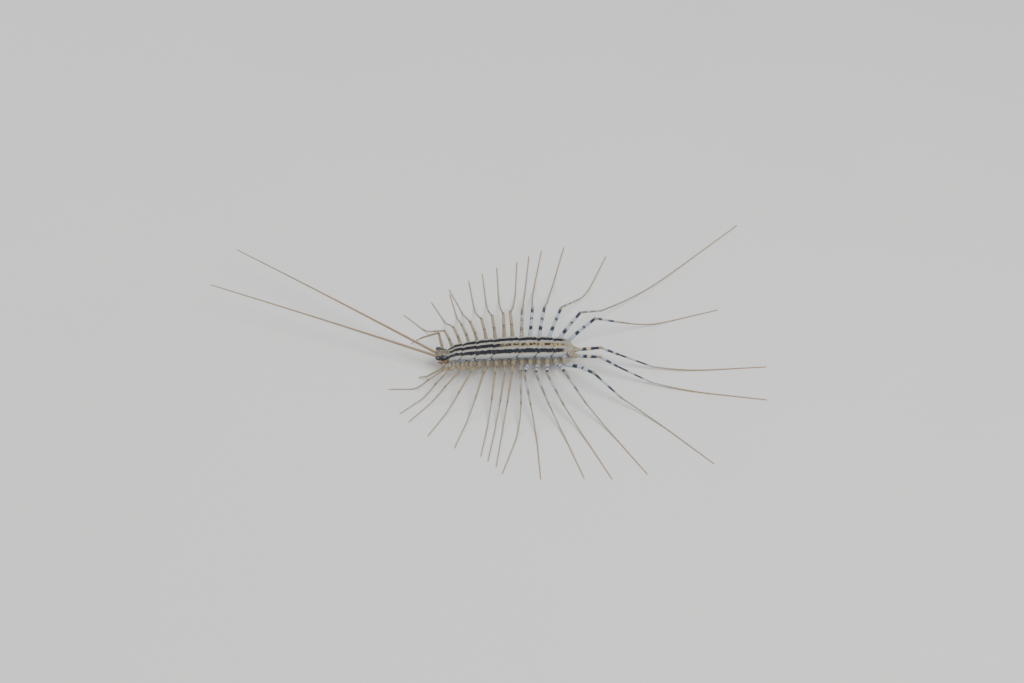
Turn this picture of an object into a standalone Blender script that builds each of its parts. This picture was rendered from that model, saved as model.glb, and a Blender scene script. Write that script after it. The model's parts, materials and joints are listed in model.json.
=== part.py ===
"""A house centipede at life size, standing still on the floor.

All sizes below are in millimetres and are turned into metres where a mesh is made.
The animal faces -X, its left side is -Y, and the floor is Z = 0.
"""

from collections import namedtuple
from math import atan2, cos, pi, radians, sin

import bmesh
import bpy
from mathutils import Vector

MM = 0.001
GAP = 0.27

# The body: a distance along it is measured from its middle, front negative.
BODY_X = 4.88
BODY_Y = -4.57
BODY_TURN = 0.056
BODY_BOW = 0.005
HEAD_TURN = 0.045
HEAD_REAR = -12.25
TRUNK_FRONT = HEAD_REAR + GAP
PINCH = 0.93

# The tail's end, as distance along the body and share of its full girth.
TAIL_SHAPE = ((12.05, 0.9), (12.5, 1.0), (12.95, 0.8), (13.15, 0.45))
TAIL_Z = 4.2
TAIL_HALF_WIDTH = 0.62
TAIL_HALF_HEIGHT = 0.4
TAIL_SIDES = 8

# Cross-section at the widest place.
WIDEST = 2.0
PLATE_HALF_WIDTH = 2.6
TRUNK_HALF_WIDTH = 2.15
TRUNK_MIDDLE_Z = 3.6
TRUNK_ABOVE = 1.15
TRUNK_BELOW = 1.3
PLATE_THICKNESS = 0.5
PLATE_ARCH = 0.5
FRONT_TAPER = 18.5
FRONT_POWER = 2.2
REAR_TAPER = 11.5
REAR_POWER = 3.4

# Back plates: where each one ends, and the round of its rear corners.
PLATE_ENDS = (-12.2, -10.0, -7.2, -3.9, 1.1, 4.7, 7.9, 10.6, 12.1)
CORNER_ROUND = 0.75
CORNER_POWER = 5
FRONT_ROUND = 0.3
FRONT_CORNER_POWER = 6
REAR_NOTCH = 0.22
NOTCH_SHARE = 1 / 3
PLATE_SWELL = 0.03

# Head: an egg whose rear is cut flat where it meets the trunk, with its eyes and feelers.
HEAD_LENGTH = 2.9
HEAD_OVERHANG = 0.6
HEAD_HALF_WIDTH = 1.5
HEAD_HALF_HEIGHT = 1.0
HEAD_Z = 4.1
LIP_OFFSET = (-0.85, 0.0, -0.5)
LIP_SIZE = (0.75, 0.75, 0.5)
CHEEK_OFFSET = (0.3, 0.8, -0.45)
CHEEK_SIZE = (0.8, 0.62, 0.6)
EYE_SIZE = (0.55, 0.45, 0.5)
EYE_PLACE = (-14.4, 1.15, 4.6)
SOCKET_PLACE = (-14.9, 0.45, 4.65)
SOCKET_DEPTH = 0.35
SOCKET_RADII = (0.42, 0.36)

# Antennae: degrees swung to the animal's right of straight ahead, and how far each one rises.
Reach = namedtuple("Reach", "swing rise")
LEFT_REACH = Reach(18.2, 4.2)
RIGHT_REACH = Reach(30.5, 3.6)
ANTENNA_LENGTH = 47.0
ANTENNA_RADIUS = (0.32, 0.17)
ANTENNA_SLIMMING = 0.7
ANTENNA_SWAY = 0.15
ANTENNA_PLACES = (0.04, 0.3, 0.65, 1.0)

# Palps: steps from the root to the shoulder, elbow, bend and tip, each with its radius.
PALP_ROOT = (-13.45, 1.2, 2.65)
PALP_ROOT_RADIUS = 0.3
LEFT_PALP = (
    ((0.0, -0.5, -0.1), 0.33),
    ((0.15, -2.1, 1.6), 0.27),
    ((-3.3, -1.9, -1.45), 0.25),
    ((-4.8, -1.4, -2.3), 0.16),
)
RIGHT_PALP = (
    ((0.0, 0.5, -0.1), 0.33),
    ((-0.95, 2.9, 3.4), 0.27),
    ((-4.2, 4.2, 0.4), 0.25),
    ((-6.6, 4.8, -2.2), 0.16),
)

# Poison claws: steps from the root, with sideways ones pointing out, and the radius there.
FANG_ROOT = (-12.75, 0.62, 2.46)
FANG_CURVE = (
    ((0.0, 0.0, 0.0), 0.32),
    ((-0.5, 0.12, -0.12), 0.34),
    ((-1.05, 0.08, -0.16), 0.28),
    ((-1.5, -0.1, -0.12), 0.19),
    ((-1.85, -0.32, -0.05), 0.08),
)

# Legs: fifteen pairs, longer towards the rear.
PAIRS = 15
FIRST_HIP = -11.4
HIP_SPACING = 1.655
HIP_ANGLE = radians(25)
SLOPE_STEP = 0.1
LAST_HIP = (11.79, 0.6, 3.05)
LAST_HIP_HEADING = -80
COXA_LENGTH = 0.9
FIRST_UPPER_LEG = 4.3
UPPER_LEG_GROWTH = 0.31
PREFEMUR_SHARE = 0.57
TIBIA_SHARE = 0.86
FIRST_TARSUS = 7.5
TARSUS_GROWTH = 1.05
FIRST_GIRTH = 0.86
GIRTH_GROWTH = 0.02
LAST_GIRTH = 0.95
FLOOR_REACH = 0.45
FLOOR_EASE = 1.7
LEG_SIDES = 6
TARSUS_STEPS = 6
TIP_TURN = 1.6
TARSUS_RADIUS = (0.25, 0.15)
FLAT_SIDE = cos(pi / LEG_SIDES)

# Radii along each of a leg's thick lengths, at shares of that length.
COXA_RADII = ((0.0, 0.48), (0.5, 0.5))
PREFEMUR_RADII = ((0.0, 0.4), (0.4, 0.43), (0.9, 0.39))
FEMUR_RADII = ((0.0, 0.33), (0.3, 0.36), (0.9, 0.34))
TIBIA_RADII = ((0.0, 0.28), (0.15, 0.31), (0.9, 0.27))

# Slopes of a leg's three lengths, in degrees above level.
Slopes = namedtuple("Slopes", "prefemur femur tibia")
STANDING = Slopes(48, 26, -41)
REACHING = Slopes(41, 35, -33)
LEANING = Slopes(33, 14, -34)
TRAILING = Slopes(21, -19, -22)

# Headings are degrees forward of straight out from the body; stretch lengthens the tarsus.
Pose = namedtuple("Pose", "upper tibia tip stretch slopes", defaults=(STANDING,))
RIGHT_POSES = (
    Pose(32, 45, 46, 1.22),
    Pose(28, 18, 28, 1.06),
    Pose(28, 10, 14, 1.02),
    Pose(26, 12, 24, 1.01),
    Pose(17, 13, 9, 1.0),
    Pose(10, 10, 6, 1.0),
    Pose(3, 7, 3, 1.0),
    Pose(6, -7, -2, 1.0),
    Pose(-2, -3, -5, 1.0),
    Pose(-6, 0, -9, 1.0),
    Pose(-13, -8, -13, 1.0),
    Pose(-29, -31, -22, 0.88, REACHING),
    Pose(-52, -50, -47, 1.99, REACHING),
    Pose(-69, -68, -73, 0.98, REACHING),
    Pose(-102, -97, -86, 1.01, TRAILING),
)
LEFT_POSES = (
    Pose(37, 83, 90, 1.03),
    Pose(42, 61, 50, 1.0),
    Pose(32, 60, 42, 1.0),
    Pose(22, 41, 32, 0.98),
    Pose(9, 24, 20, 0.95),
    Pose(2, 9, 10, 0.93),
    Pose(-1, 12, 10, 0.92),
    Pose(2, 12, 8, 0.92),
    Pose(2, -1, 18, 0.95),
    Pose(12, -15, -4, 0.94),
    Pose(6, -31, -20, 0.94),
    Pose(1, -38, -27, 0.95),
    Pose(-16, -47, -34, 0.94),
    Pose(-48, -62, -46, 1.06, LEANING),
    Pose(-68, -75, -82, 1.02, TRAILING),
)

# Colours, as linear red, green and blue.
BEIGE = (0.50, 0.40, 0.27)
GREY_LILAC = (0.36, 0.36, 0.37)
LEG_TAN = (0.46, 0.38, 0.26)
DARK_EYE = (0.015, 0.018, 0.03)
RUST = (0.36, 0.17, 0.06)


def clear_scene():
    for old in list(bpy.data.objects):
        bpy.data.objects.remove(old, do_unlink=True)


def finish(obj, name, colour, roughness):
    """Names the object and gives it a material of its own."""
    obj.name = name
    obj.data.name = name
    material = bpy.data.materials.new(name)
    material.use_nodes = True
    shader = material.node_tree.nodes["Principled BSDF"]
    shader.inputs["Base Color"].default_value = (*colour, 1.0)
    shader.inputs["Roughness"].default_value = roughness
    shader.inputs["Metallic"].default_value = 0.0
    obj.data.materials.clear()
    obj.data.materials.append(material)
    obj.data.shade_smooth()
    obj.data.set_sharp_from_angle(angle=radians(50))
    return obj


def mesh_object(name, points, faces):
    mesh = bpy.data.meshes.new(name)
    mesh.from_pydata([tuple(MM * value for value in point) for point in points], [], faces)
    mesh.validate()
    shape = bmesh.new()
    shape.from_mesh(mesh)
    bmesh.ops.recalc_face_normals(shape, faces=shape.faces)
    shape.to_mesh(mesh)
    shape.free()
    obj = bpy.data.objects.new(name, mesh)
    bpy.context.collection.objects.link(obj)
    return obj


def loft(name, rings):
    """A closed skin over rings of equal count, with a flat cap at each end."""
    count = len(rings[0])
    points = [point for ring in rings for point in ring]
    faces = []
    for row in range(len(rings) - 1):
        for column in range(count):
            after = (column + 1) % count
            near, far = row * count, (row + 1) * count
            faces.append((near + column, near + after, far + after, far + column))
    last = (len(rings) - 1) * count
    faces.append(tuple(range(count)))
    faces.append(tuple(range(last, last + count)))
    return mesh_object(name, points, faces)


def limb(name, stations, sides=LEG_SIDES):
    """A tube through (place, radius) stations, which never passes below the floor."""
    rings = []
    for index, (place, radius) in enumerate(stations):
        before = stations[max(index - 1, 0)][0]
        after = stations[min(index + 1, len(stations) - 1)][0]
        along = (place - before).normalized() + (after - place).normalized()
        along.normalize()
        across = along.cross(Vector((0, 0, 1))).normalized()
        over = across.cross(along)
        ring = []
        for corner in range(sides):
            angle = 2 * pi * corner / sides
            point = place + radius * (cos(angle) * across + sin(angle) * over)
            point.z = max(point.z, 0.0)
            ring.append(point)
        rings.append(ring)
    return loft(name, rings)


def ellipsoid(name, centre, radii, columns=14, rows=9):
    points = [centre + Vector((0, 0, radii[2]))]
    for row in range(1, rows):
        lift = pi * row / rows
        for column in range(columns):
            turn = 2 * pi * column / columns
            offset = (
                radii[0] * sin(lift) * cos(turn),
                radii[1] * sin(lift) * sin(turn),
                radii[2] * cos(lift),
            )
            points.append(centre + Vector(offset))
    points.append(centre - Vector((0, 0, radii[2])))
    foot = len(points) - 1
    faces = []
    for column in range(columns):
        after = (column + 1) % columns
        faces.append((0, 1 + column, 1 + after))
        for row in range(rows - 2):
            near, far = 1 + row * columns, 1 + (row + 1) * columns
            faces.append((near + column, far + column, far + after, near + after))
        near = 1 + (rows - 2) * columns
        faces.append((near + column, foot, near + after))
    return mesh_object(name, points, faces)


def apply_boolean(obj, operation, others):
    """Applies one Boolean with a collection of objects, which it then removes."""
    group = bpy.data.collections.new("pieces")
    bpy.context.scene.collection.children.link(group)
    for other in others:
        bpy.context.collection.objects.unlink(other)
        group.objects.link(other)
    modifier = obj.modifiers.new("join", "BOOLEAN")
    modifier.operation = operation
    modifier.operand_type = "COLLECTION"
    modifier.collection = group
    modifier.solver = "EXACT"
    graph = bpy.context.evaluated_depsgraph_get()
    mesh = bpy.data.meshes.new_from_object(obj.evaluated_get(graph))
    obj.modifiers.clear()
    obj.data = mesh
    for other in others:
        bpy.data.objects.remove(other, do_unlink=True)
    bpy.data.collections.remove(group)
    return obj


def block(name, front, rear):
    """A box across the whole body, to cut with."""
    rings = []
    for along in (front, rear):
        middle = on_body(along, 0, HEAD_Z)
        corners = ((-1, -1), (1, -1), (1, 1), (-1, 1))
        reach = 2 * HEAD_HALF_WIDTH
        rings.append([middle + Vector((0, reach * out, reach * up)) for out, up in corners])
    return loft(name, rings)


def body_scale(along):
    """The body's width there as a share of its greatest width."""
    offset = along - WIDEST
    if offset < 0:
        return (1 - (-offset / FRONT_TAPER) ** FRONT_POWER) ** 0.5
    return (1 - min(offset / REAR_TAPER, 1.0) ** REAR_POWER) ** 0.5


def on_body(along, out=0.0, height=0.0):
    """A point beside the body's bowed middle line, straight in the head; out is to its right."""
    behind = max(along, HEAD_REAR)
    bow = BODY_TURN * behind - BODY_BOW * behind * behind + HEAD_TURN * (along - behind)
    return Vector((BODY_X + along, BODY_Y + bow + out, height))


def trunk_heights(along):
    share = 0.5 + 0.5 * body_scale(along)
    return TRUNK_ABOVE * share, TRUNK_BELOW * share


def trunk_half_width(along):
    return TRUNK_HALF_WIDTH * body_scale(along)


def trunk_ring(along, squeeze, sides=12):
    above, below = trunk_heights(along)
    width = trunk_half_width(along) * squeeze
    ring = []
    for corner in range(sides):
        angle = 2 * pi * (corner + 0.5) / sides
        rise = above if sin(angle) > 0 else below
        ring.append(on_body(along, width * cos(angle), TRUNK_MIDDLE_Z + rise * sin(angle)))
    return ring


def make_trunk():
    """The soft body under the plates, a little pinched between its segments."""
    rings = [trunk_ring(TRUNK_FRONT, PINCH)]
    for number in range(PAIRS):
        middle = FIRST_HIP + HIP_SPACING * number
        rings.append(trunk_ring(middle, 1.0))
        if number < PAIRS - 1:
            rings.append(trunk_ring(middle + HIP_SPACING / 2, PINCH))
    return finish(loft("trunk", rings), "trunk", GREY_LILAC, 0.55)


def make_tail():
    """The short blunt end over the roots of the last legs."""
    rings = []
    for along, share in TAIL_SHAPE:
        ring = []
        for corner in range(TAIL_SIDES):
            angle = 2 * pi * (corner + 0.5) / TAIL_SIDES
            rise = TAIL_HALF_HEIGHT * share * sin(angle)
            ring.append(on_body(along, TAIL_HALF_WIDTH * share * cos(angle), TAIL_Z + rise))
        rings.append(ring)
    return finish(loft("tail", rings), "tail", BEIGE, 0.5)


def plate_height(along, share):
    """Underside of a plate, share of its half width from the middle."""
    above, _ = trunk_heights(along)
    return TRUNK_MIDDLE_Z + above + GAP - PLATE_ARCH * share * share * body_scale(along)


def plate_point(start, end, down_length, share, lift):
    """A point of a plate's top or underside; its margins curve round at the corners."""
    edge = abs(share)
    notch = REAR_NOTCH * max(0.0, 1 - edge / NOTCH_SHARE)
    rear = end - CORNER_ROUND * edge**CORNER_POWER - notch
    front = start + FRONT_ROUND * edge**FRONT_CORNER_POWER
    along = front + (rear - front) * down_length
    half_width = PLATE_HALF_WIDTH * body_scale(start + (end - start) * down_length)
    swell = 1.0 + PLATE_SWELL * sin(pi * down_length)
    height = plate_height(along, share) + lift
    return on_body(along, share * half_width * swell, height)


def make_plate(number, columns=10, rows=3):
    start = PLATE_ENDS[number] + GAP
    end = PLATE_ENDS[number + 1]
    points = []
    for lift in (PLATE_THICKNESS, 0.0):
        for row in range(rows + 1):
            for column in range(columns + 1):
                share = 2 * column / columns - 1
                points.append(plate_point(start, end, row / rows, share, lift))
    layer = (rows + 1) * (columns + 1)
    faces = []
    for row in range(rows):
        for column in range(columns):
            corner = row * (columns + 1) + column
            below = corner + columns + 1
            faces.append((corner, corner + 1, below + 1, below))
            faces.append(tuple(layer + value for value in (corner, below, below + 1, corner + 1)))
    rim = list(range(columns))
    rim += [row * (columns + 1) + columns for row in range(rows)]
    rim += [rows * (columns + 1) + column for column in range(columns, 0, -1)]
    rim += [row * (columns + 1) for row in range(rows, 0, -1)]
    for index, corner in enumerate(rim):
        after = rim[(index + 1) % len(rim)]
        faces.append((corner, layer + corner, layer + after, after))
    name = f"back_plate_{number + 1}"
    return finish(mesh_object(name, points, faces), name, BEIGE, 0.4)


def eye_shape(name, side, spare):
    along, out, height = EYE_PLACE
    radii = [size + spare for size in EYE_SIZE]
    return ellipsoid(name, on_body(along, side * out, height), radii, 12, 8)


def make_head():
    """A rounded shield with a flat rear, cheeks, a lip, and a raised socket for each antenna."""
    half_length = (HEAD_LENGTH + HEAD_OVERHANG) / 2
    centre = on_body(HEAD_REAR - HEAD_LENGTH + half_length, 0, HEAD_Z)
    head = ellipsoid("head", centre, (half_length, HEAD_HALF_WIDTH, HEAD_HALF_HEIGHT), 18, 12)
    pieces = [ellipsoid("lip", centre + Vector(LIP_OFFSET), LIP_SIZE)]
    for side in (-1, 1):
        ahead, out, up = CHEEK_OFFSET
        pieces.append(ellipsoid("cheek", centre + Vector((ahead, side * out, up)), CHEEK_SIZE))
        along, out, height = SOCKET_PLACE
        root = on_body(along + SOCKET_DEPTH, side * out, height)
        rim = on_body(along, side * out, height)
        pieces.append(limb("socket", list(zip((root, rim), SOCKET_RADII)), 10))
    head = apply_boolean(head, "UNION", pieces)
    cutters = [eye_shape("eye_room", side, GAP) for side in (-1, 1)]
    cutters.append(block("rear_room", HEAD_REAR, HEAD_REAR + HEAD_LENGTH))
    head = apply_boolean(head, "DIFFERENCE", cutters)
    return finish(head, "head", BEIGE, 0.45)


def make_eyes():
    for side, word in ((-1, "left"), (1, "right")):
        finish(eye_shape("eye", side, 0.0), f"eye_{word}", DARK_EYE, 0.15)


def curve_through(points, steps):
    """Evenly counted points on a smooth curve through a few places."""
    padded = [2 * points[0] - points[1], *points, 2 * points[-1] - points[-2]]
    result = []
    for index in range(len(points) - 1):
        a, b, c, d = padded[index : index + 4]
        for step in range(steps):
            t = step / steps
            result.append(
                0.5
                * (
                    2 * b
                    + (c - a) * t
                    + (2 * a - 5 * b + 4 * c - d) * t * t
                    + (3 * b - a - 3 * c + d) * t * t * t
                )
            )
    result.append(points[-1].copy())
    return result


def antenna_route(side):
    """From its socket forwards, swung to the right of straight ahead, and rising evenly."""
    along, out, height = SOCKET_PLACE
    reach = LEFT_REACH if side < 0 else RIGHT_REACH
    swing = radians(reach.swing)
    heading = Vector((-cos(swing), sin(swing), 0))
    across = Vector((heading.y, -heading.x, 0))
    root = on_body(along - GAP, side * out, height)
    places = [root]
    for share in ANTENNA_PLACES:
        rise = Vector((0, 0, reach.rise * share))
        sway = ANTENNA_SWAY * sin(pi * share) * across
        places.append(root + heading * ANTENNA_LENGTH * share + sway + rise)
    return places


def make_antennae():
    thick, thin = ANTENNA_RADIUS
    for side, word in ((-1, "left"), (1, "right")):
        route = curve_through(antenna_route(side), 4)
        stations = []
        for index, place in enumerate(route):
            share = index / (len(route) - 1)
            stations.append((place, thick + (thin - thick) * share**ANTENNA_SLIMMING))
        name = f"antenna_{word}"
        finish(limb(name, stations), name, BEIGE, 0.5)


def make_palps():
    """The long leg-like feelers of the mouth, one bent high and one held low."""
    along, out, height = PALP_ROOT
    for side, word, bends in ((-1, "left", LEFT_PALP), (1, "right", RIGHT_PALP)):
        root = on_body(along, side * out, height)
        stations = [(root, PALP_ROOT_RADIUS)]
        stations += [(root + Vector(step), radius) for step, radius in bends]
        name = f"palp_{word}"
        finish(limb(name, stations), name, LEG_TAN, 0.5)


def make_fangs():
    """The curved poison claws below the head, their points turned in."""
    along, out, height = FANG_ROOT
    for side, word in ((-1, "left"), (1, "right")):
        root = on_body(along, side * out, height)
        stations = []
        for (ahead, step_out, up), radius in FANG_CURVE:
            stations.append((root + Vector((ahead, side * step_out, up)), radius))
        name = f"fang_{word}"
        finish(limb(name, stations, 8), name, RUST, 0.35)


def outward(side, heading, slope):
    """Direction of a leg's length: degrees forward of straight out, and above level."""
    turn, rise = radians(heading), radians(slope)
    return Vector((-sin(turn) * cos(rise), side * cos(turn) * cos(rise), sin(rise)))


def hip(number, side):
    """Where a leg starts on the trunk's lower side, and the way the trunk faces there."""
    along = FIRST_HIP + HIP_SPACING * (number - 1)
    width = trunk_half_width(along)
    _, below = trunk_heights(along)
    narrowing = (trunk_half_width(along - SLOPE_STEP) - width) / SLOPE_STEP
    turn = atan2(narrowing, 1.0)
    place = on_body(along, side * width * cos(HIP_ANGLE), TRUNK_MIDDLE_Z - below * sin(HIP_ANGLE))
    dip = atan2(sin(HIP_ANGLE) / below, cos(HIP_ANGLE) / width)
    facing = Vector((sin(turn) * cos(dip), side * cos(turn) * cos(dip), -sin(dip)))
    return place, facing


def last_hip(side):
    """The last pair starts on the trunk's rear face, close to its middle."""
    along, out, height = LAST_HIP
    return on_body(along, side * out, height), outward(side, LAST_HIP_HEADING, 0)


def leg_stations(number, side):
    """Places and radii along one leg, from its root to the tip on the floor."""
    pose = (LEFT_POSES if side < 0 else RIGHT_POSES)[number - 1]
    slopes = pose.slopes
    upper_leg = FIRST_UPPER_LEG + UPPER_LEG_GROWTH * (number - 1)
    prefemur = PREFEMUR_SHARE * upper_leg
    femur = upper_leg - prefemur
    tibia = TIBIA_SHARE * upper_leg
    tarsus = (FIRST_TARSUS + TARSUS_GROWTH * (number - 1)) * pose.stretch
    girth = LAST_GIRTH if number == PAIRS else FIRST_GIRTH + GIRTH_GROWTH * number

    place, facing = last_hip(side) if number == PAIRS else hip(number, side)
    root = place + GAP * facing
    turn_up = root + COXA_LENGTH * facing
    knee_1 = turn_up + prefemur * outward(side, pose.upper, slopes.prefemur)
    knee_2 = knee_1 + femur * outward(side, pose.upper, slopes.femur)
    ankle = knee_2 + tibia * outward(side, pose.tibia, slopes.tibia)
    lengths = (
        (root, turn_up, COXA_RADII),
        (turn_up, knee_1, PREFEMUR_RADII),
        (knee_1, knee_2, FEMUR_RADII),
        (knee_2, ankle, TIBIA_RADII),
    )
    stations = []
    for start, end, radii in lengths:
        stations += [(start.lerp(end, share), radius * girth) for share, radius in radii]
    thick, thin = TARSUS_RADIUS
    stations.append((ankle, thick))
    where = ankle.copy()
    step = tarsus / TARSUS_STEPS
    for count in range(1, TARSUS_STEPS + 1):
        share = count / TARSUS_STEPS
        heading = pose.tibia + (pose.tip - pose.tibia) * min(1.0, TIP_TURN * share)
        where += step * outward(side, heading, 0)
        radius = thick + (thin - thick) * share
        rest = FLAT_SIDE * radius
        still_up = max(0.0, 1 - share / FLOOR_REACH)
        where.z = rest + (ankle.z - rest) * still_up**FLOOR_EASE
        stations.append((where.copy(), radius))
    return stations


def make_legs():
    for side, word in ((-1, "left"), (1, "right")):
        for number in range(1, PAIRS + 1):
            name = f"leg_{word}_{number:02d}"
            finish(limb(name, leg_stations(number, side)), name, LEG_TAN, 0.45)


def main():
    clear_scene()
    make_trunk()
    make_tail()
    for number in range(len(PLATE_ENDS) - 1):
        make_plate(number)
    make_head()
    make_eyes()
    make_antennae()
    make_palps()
    make_fangs()
    make_legs()


main()
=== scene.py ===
"""Looks of a life-size house centipede, standing still on a pale floor.

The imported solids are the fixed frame. Lengths below are in millimetres unless they are
Blender properties, and every mesh is turned into metres when its piece is made.
The animal faces -X, its left side is -Y, and the floor is Z = 0.
"""

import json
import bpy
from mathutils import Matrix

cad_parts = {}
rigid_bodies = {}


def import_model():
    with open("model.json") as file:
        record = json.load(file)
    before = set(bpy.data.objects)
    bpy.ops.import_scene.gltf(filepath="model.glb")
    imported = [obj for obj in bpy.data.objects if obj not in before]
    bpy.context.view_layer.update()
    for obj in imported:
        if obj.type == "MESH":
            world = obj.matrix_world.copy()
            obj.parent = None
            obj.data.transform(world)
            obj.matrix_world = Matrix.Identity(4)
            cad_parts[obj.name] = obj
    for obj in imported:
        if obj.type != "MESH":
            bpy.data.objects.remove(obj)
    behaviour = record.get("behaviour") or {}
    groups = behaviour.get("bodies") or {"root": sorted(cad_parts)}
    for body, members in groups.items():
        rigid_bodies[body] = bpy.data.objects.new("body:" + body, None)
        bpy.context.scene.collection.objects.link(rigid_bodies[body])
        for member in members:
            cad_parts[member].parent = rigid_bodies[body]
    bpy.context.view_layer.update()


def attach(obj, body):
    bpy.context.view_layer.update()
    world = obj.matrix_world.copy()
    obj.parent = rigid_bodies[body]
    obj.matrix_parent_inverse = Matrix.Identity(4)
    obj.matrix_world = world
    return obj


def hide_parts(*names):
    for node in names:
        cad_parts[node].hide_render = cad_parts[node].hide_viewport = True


bl_info = {
    "name": "House centipede",
    "version": (1, 0, 0),
    "blender": (4, 5, 0),
    "location": "3D View > Sidebar > Centipede",
    "description": "Builds the skin, plates, legs and feelers of a house centipede",
    "category": "Object",
}

from collections import namedtuple
from math import atan2, cos, hypot, pi, radians, sin

import bmesh
import bpy
import numpy as np
from bpy.props import FloatProperty, FloatVectorProperty, IntProperty, PointerProperty
from bpy.types import Operator, Panel, PropertyGroup

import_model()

MM = 0.001
PLACE = "place"
LIE = "lie"
REARWARD = (1.0, 0.0, 0.0)

# The part's own sizes, which place every piece.
GAP = 0.27
BODY_X = 4.88
BODY_Y = -4.57
BODY_TURN = 0.056
BODY_BOW = 0.005
HEAD_TURN = 0.045
HEAD_REAR = -12.25
WIDEST = 2.0
PLATE_HALF_WIDTH = 2.6
TRUNK_HALF_WIDTH = 2.15
TRUNK_MIDDLE_Z = 3.6
TRUNK_ABOVE = 1.15
TRUNK_BELOW = 1.3
PLATE_THICKNESS = 0.5
PLATE_ARCH = 0.5
FRONT_TAPER = 18.5
FRONT_POWER = 2.2
REAR_TAPER = 11.5
REAR_POWER = 3.4
TAIL_END = 13.15
TAIL_ROUND = 0.9
TAIL_Z = 4.2
TAIL_HALF_WIDTH = 0.62
TAIL_HALF_HEIGHT = 0.4
SKIN_GRID = (330, 76)
EGG_GRID = (24, 16)
PLATE_COLUMNS = 84
PLATE_ROWS = 11
PLATE_ENDS = (-12.2, -10.0, -7.2, -3.9, 1.1, 4.7, 7.9, 10.6, 12.1)
PLATE_OVERLAP = 0.34
PLATE_TUCK = 0.5
CORNER_ROUND = 0.75
CORNER_POWER = 5
FRONT_ROUND = 0.3
FRONT_CORNER_POWER = 6
LAST_CORNER_ROUND = 1.1
LAST_CORNER_POWER = 2.3
SIDE_ROUNDING = 0.5
REAR_ROUNDING = 0.22
REAR_NOTCH = 0.22
HEAD_LENGTH = 2.9
HEAD_OVERHANG = 0.6
HEAD_HALF_WIDTH = 1.5
HEAD_HALF_HEIGHT = 1.0
HEAD_Z = 4.1
SUTURE_START = -14.3
FORK_PLACE = -13.35
COLLAR_PLACE = -12.45
EYE_SIZE = (0.55, 0.45, 0.5)
EYE_PLACE = (-14.4, 1.15, 4.6)
SOCKET_PLACE = (-14.9, 0.45, 4.65)
PALP_PLACE = (-13.45, 1.2, 2.65)
PALP_BENDS = {
    -1: ((0.15, -2.1, 1.6), (-3.3, -1.9, -1.45), (-4.8, -1.4, -2.3)),
    1: ((-0.95, 2.9, 3.4), (-4.2, 4.2, 0.4), (-6.6, 4.8, -2.2)),
}
CLAW_PLACE = (-12.75, 0.62, 2.46)
CLAW_STEPS = (
    (0.25, 0.0, 0.25), (0.0, 0.0, 0.0), (-0.5, 0.12, -0.12),
    (-1.05, 0.08, -0.16), (-1.5, -0.1, -0.12), (-1.85, -0.32, -0.05),
)
# Shares of a claw's length, and its radii there.
CLAW_GIRTHS = ((0, 0.2, 0.42, 0.62, 0.82, 1), (0.30, 0.33, 0.33, 0.26, 0.15, 0.02))

# Each feeler's swing to the right of straight ahead, and how far it rises to its tip.
SWINGS = {-1: (radians(18.2), 4.2), 1: (radians(30.5), 3.6)}
ANTENNA_LENGTH = 47.0
ANTENNA_PLACES = (0.04, 0.3, 0.65, 1.0)
ANTENNA_SWAY = 0.15
ANTENNA_SLIMMING = 0.7
ANTENNA_SIDES = 10
PAIRS = 15
FIRST_HIP = -11.4
HIP_SPACING = 1.655
HIP_ANGLE = radians(25)
SLOPE_STEP = 0.1
LAST_HIP = (11.79, 0.6, 3.05)
LAST_HIP_HEADING = -80
COXA_LENGTH = 0.9
FIRST_UPPER_LEG = 4.3
UPPER_LEG_GROWTH = 0.31
PREFEMUR_SHARE = 0.57
TIBIA_SHARE = 0.86
FIRST_TARSUS = 7.5
TARSUS_GROWTH = 1.05
FIRST_GIRTH = 0.86
GIRTH_GROWTH = 0.02
LAST_GIRTH = 0.95
FLOOR_REACH = 0.45
FLOOR_EASE = 1.7
TARSUS_STEPS = 6
TARSUS_SIDES = 8
TARSUS_TAPER = 0.4
TIP_TURN = 1.6
SPINE_SIDES = 5
COXA_ROOT = 0.75

# Each length of a leg from coxa to tibia: radii as shares of its girth, sides, and rings.
LIMB_LENGTHS = (
    ((0.54, 0.57, 0.50, 0.40), 14, 22),
    ((0.37, 0.39, 0.34, 0.29), 14, 28),
    ((0.28, 0.30, 0.28, 0.24), 14, 24),
    ((0.215, 0.22, 0.19, 0.165), 12, 30),
)

Slopes = namedtuple("Slopes", "prefemur femur tibia")
STANDING = Slopes(48, 26, -41)
REACHING = Slopes(41, 35, -33)
LEANING = Slopes(33, 14, -34)
TRAILING = Slopes(21, -19, -22)

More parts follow.
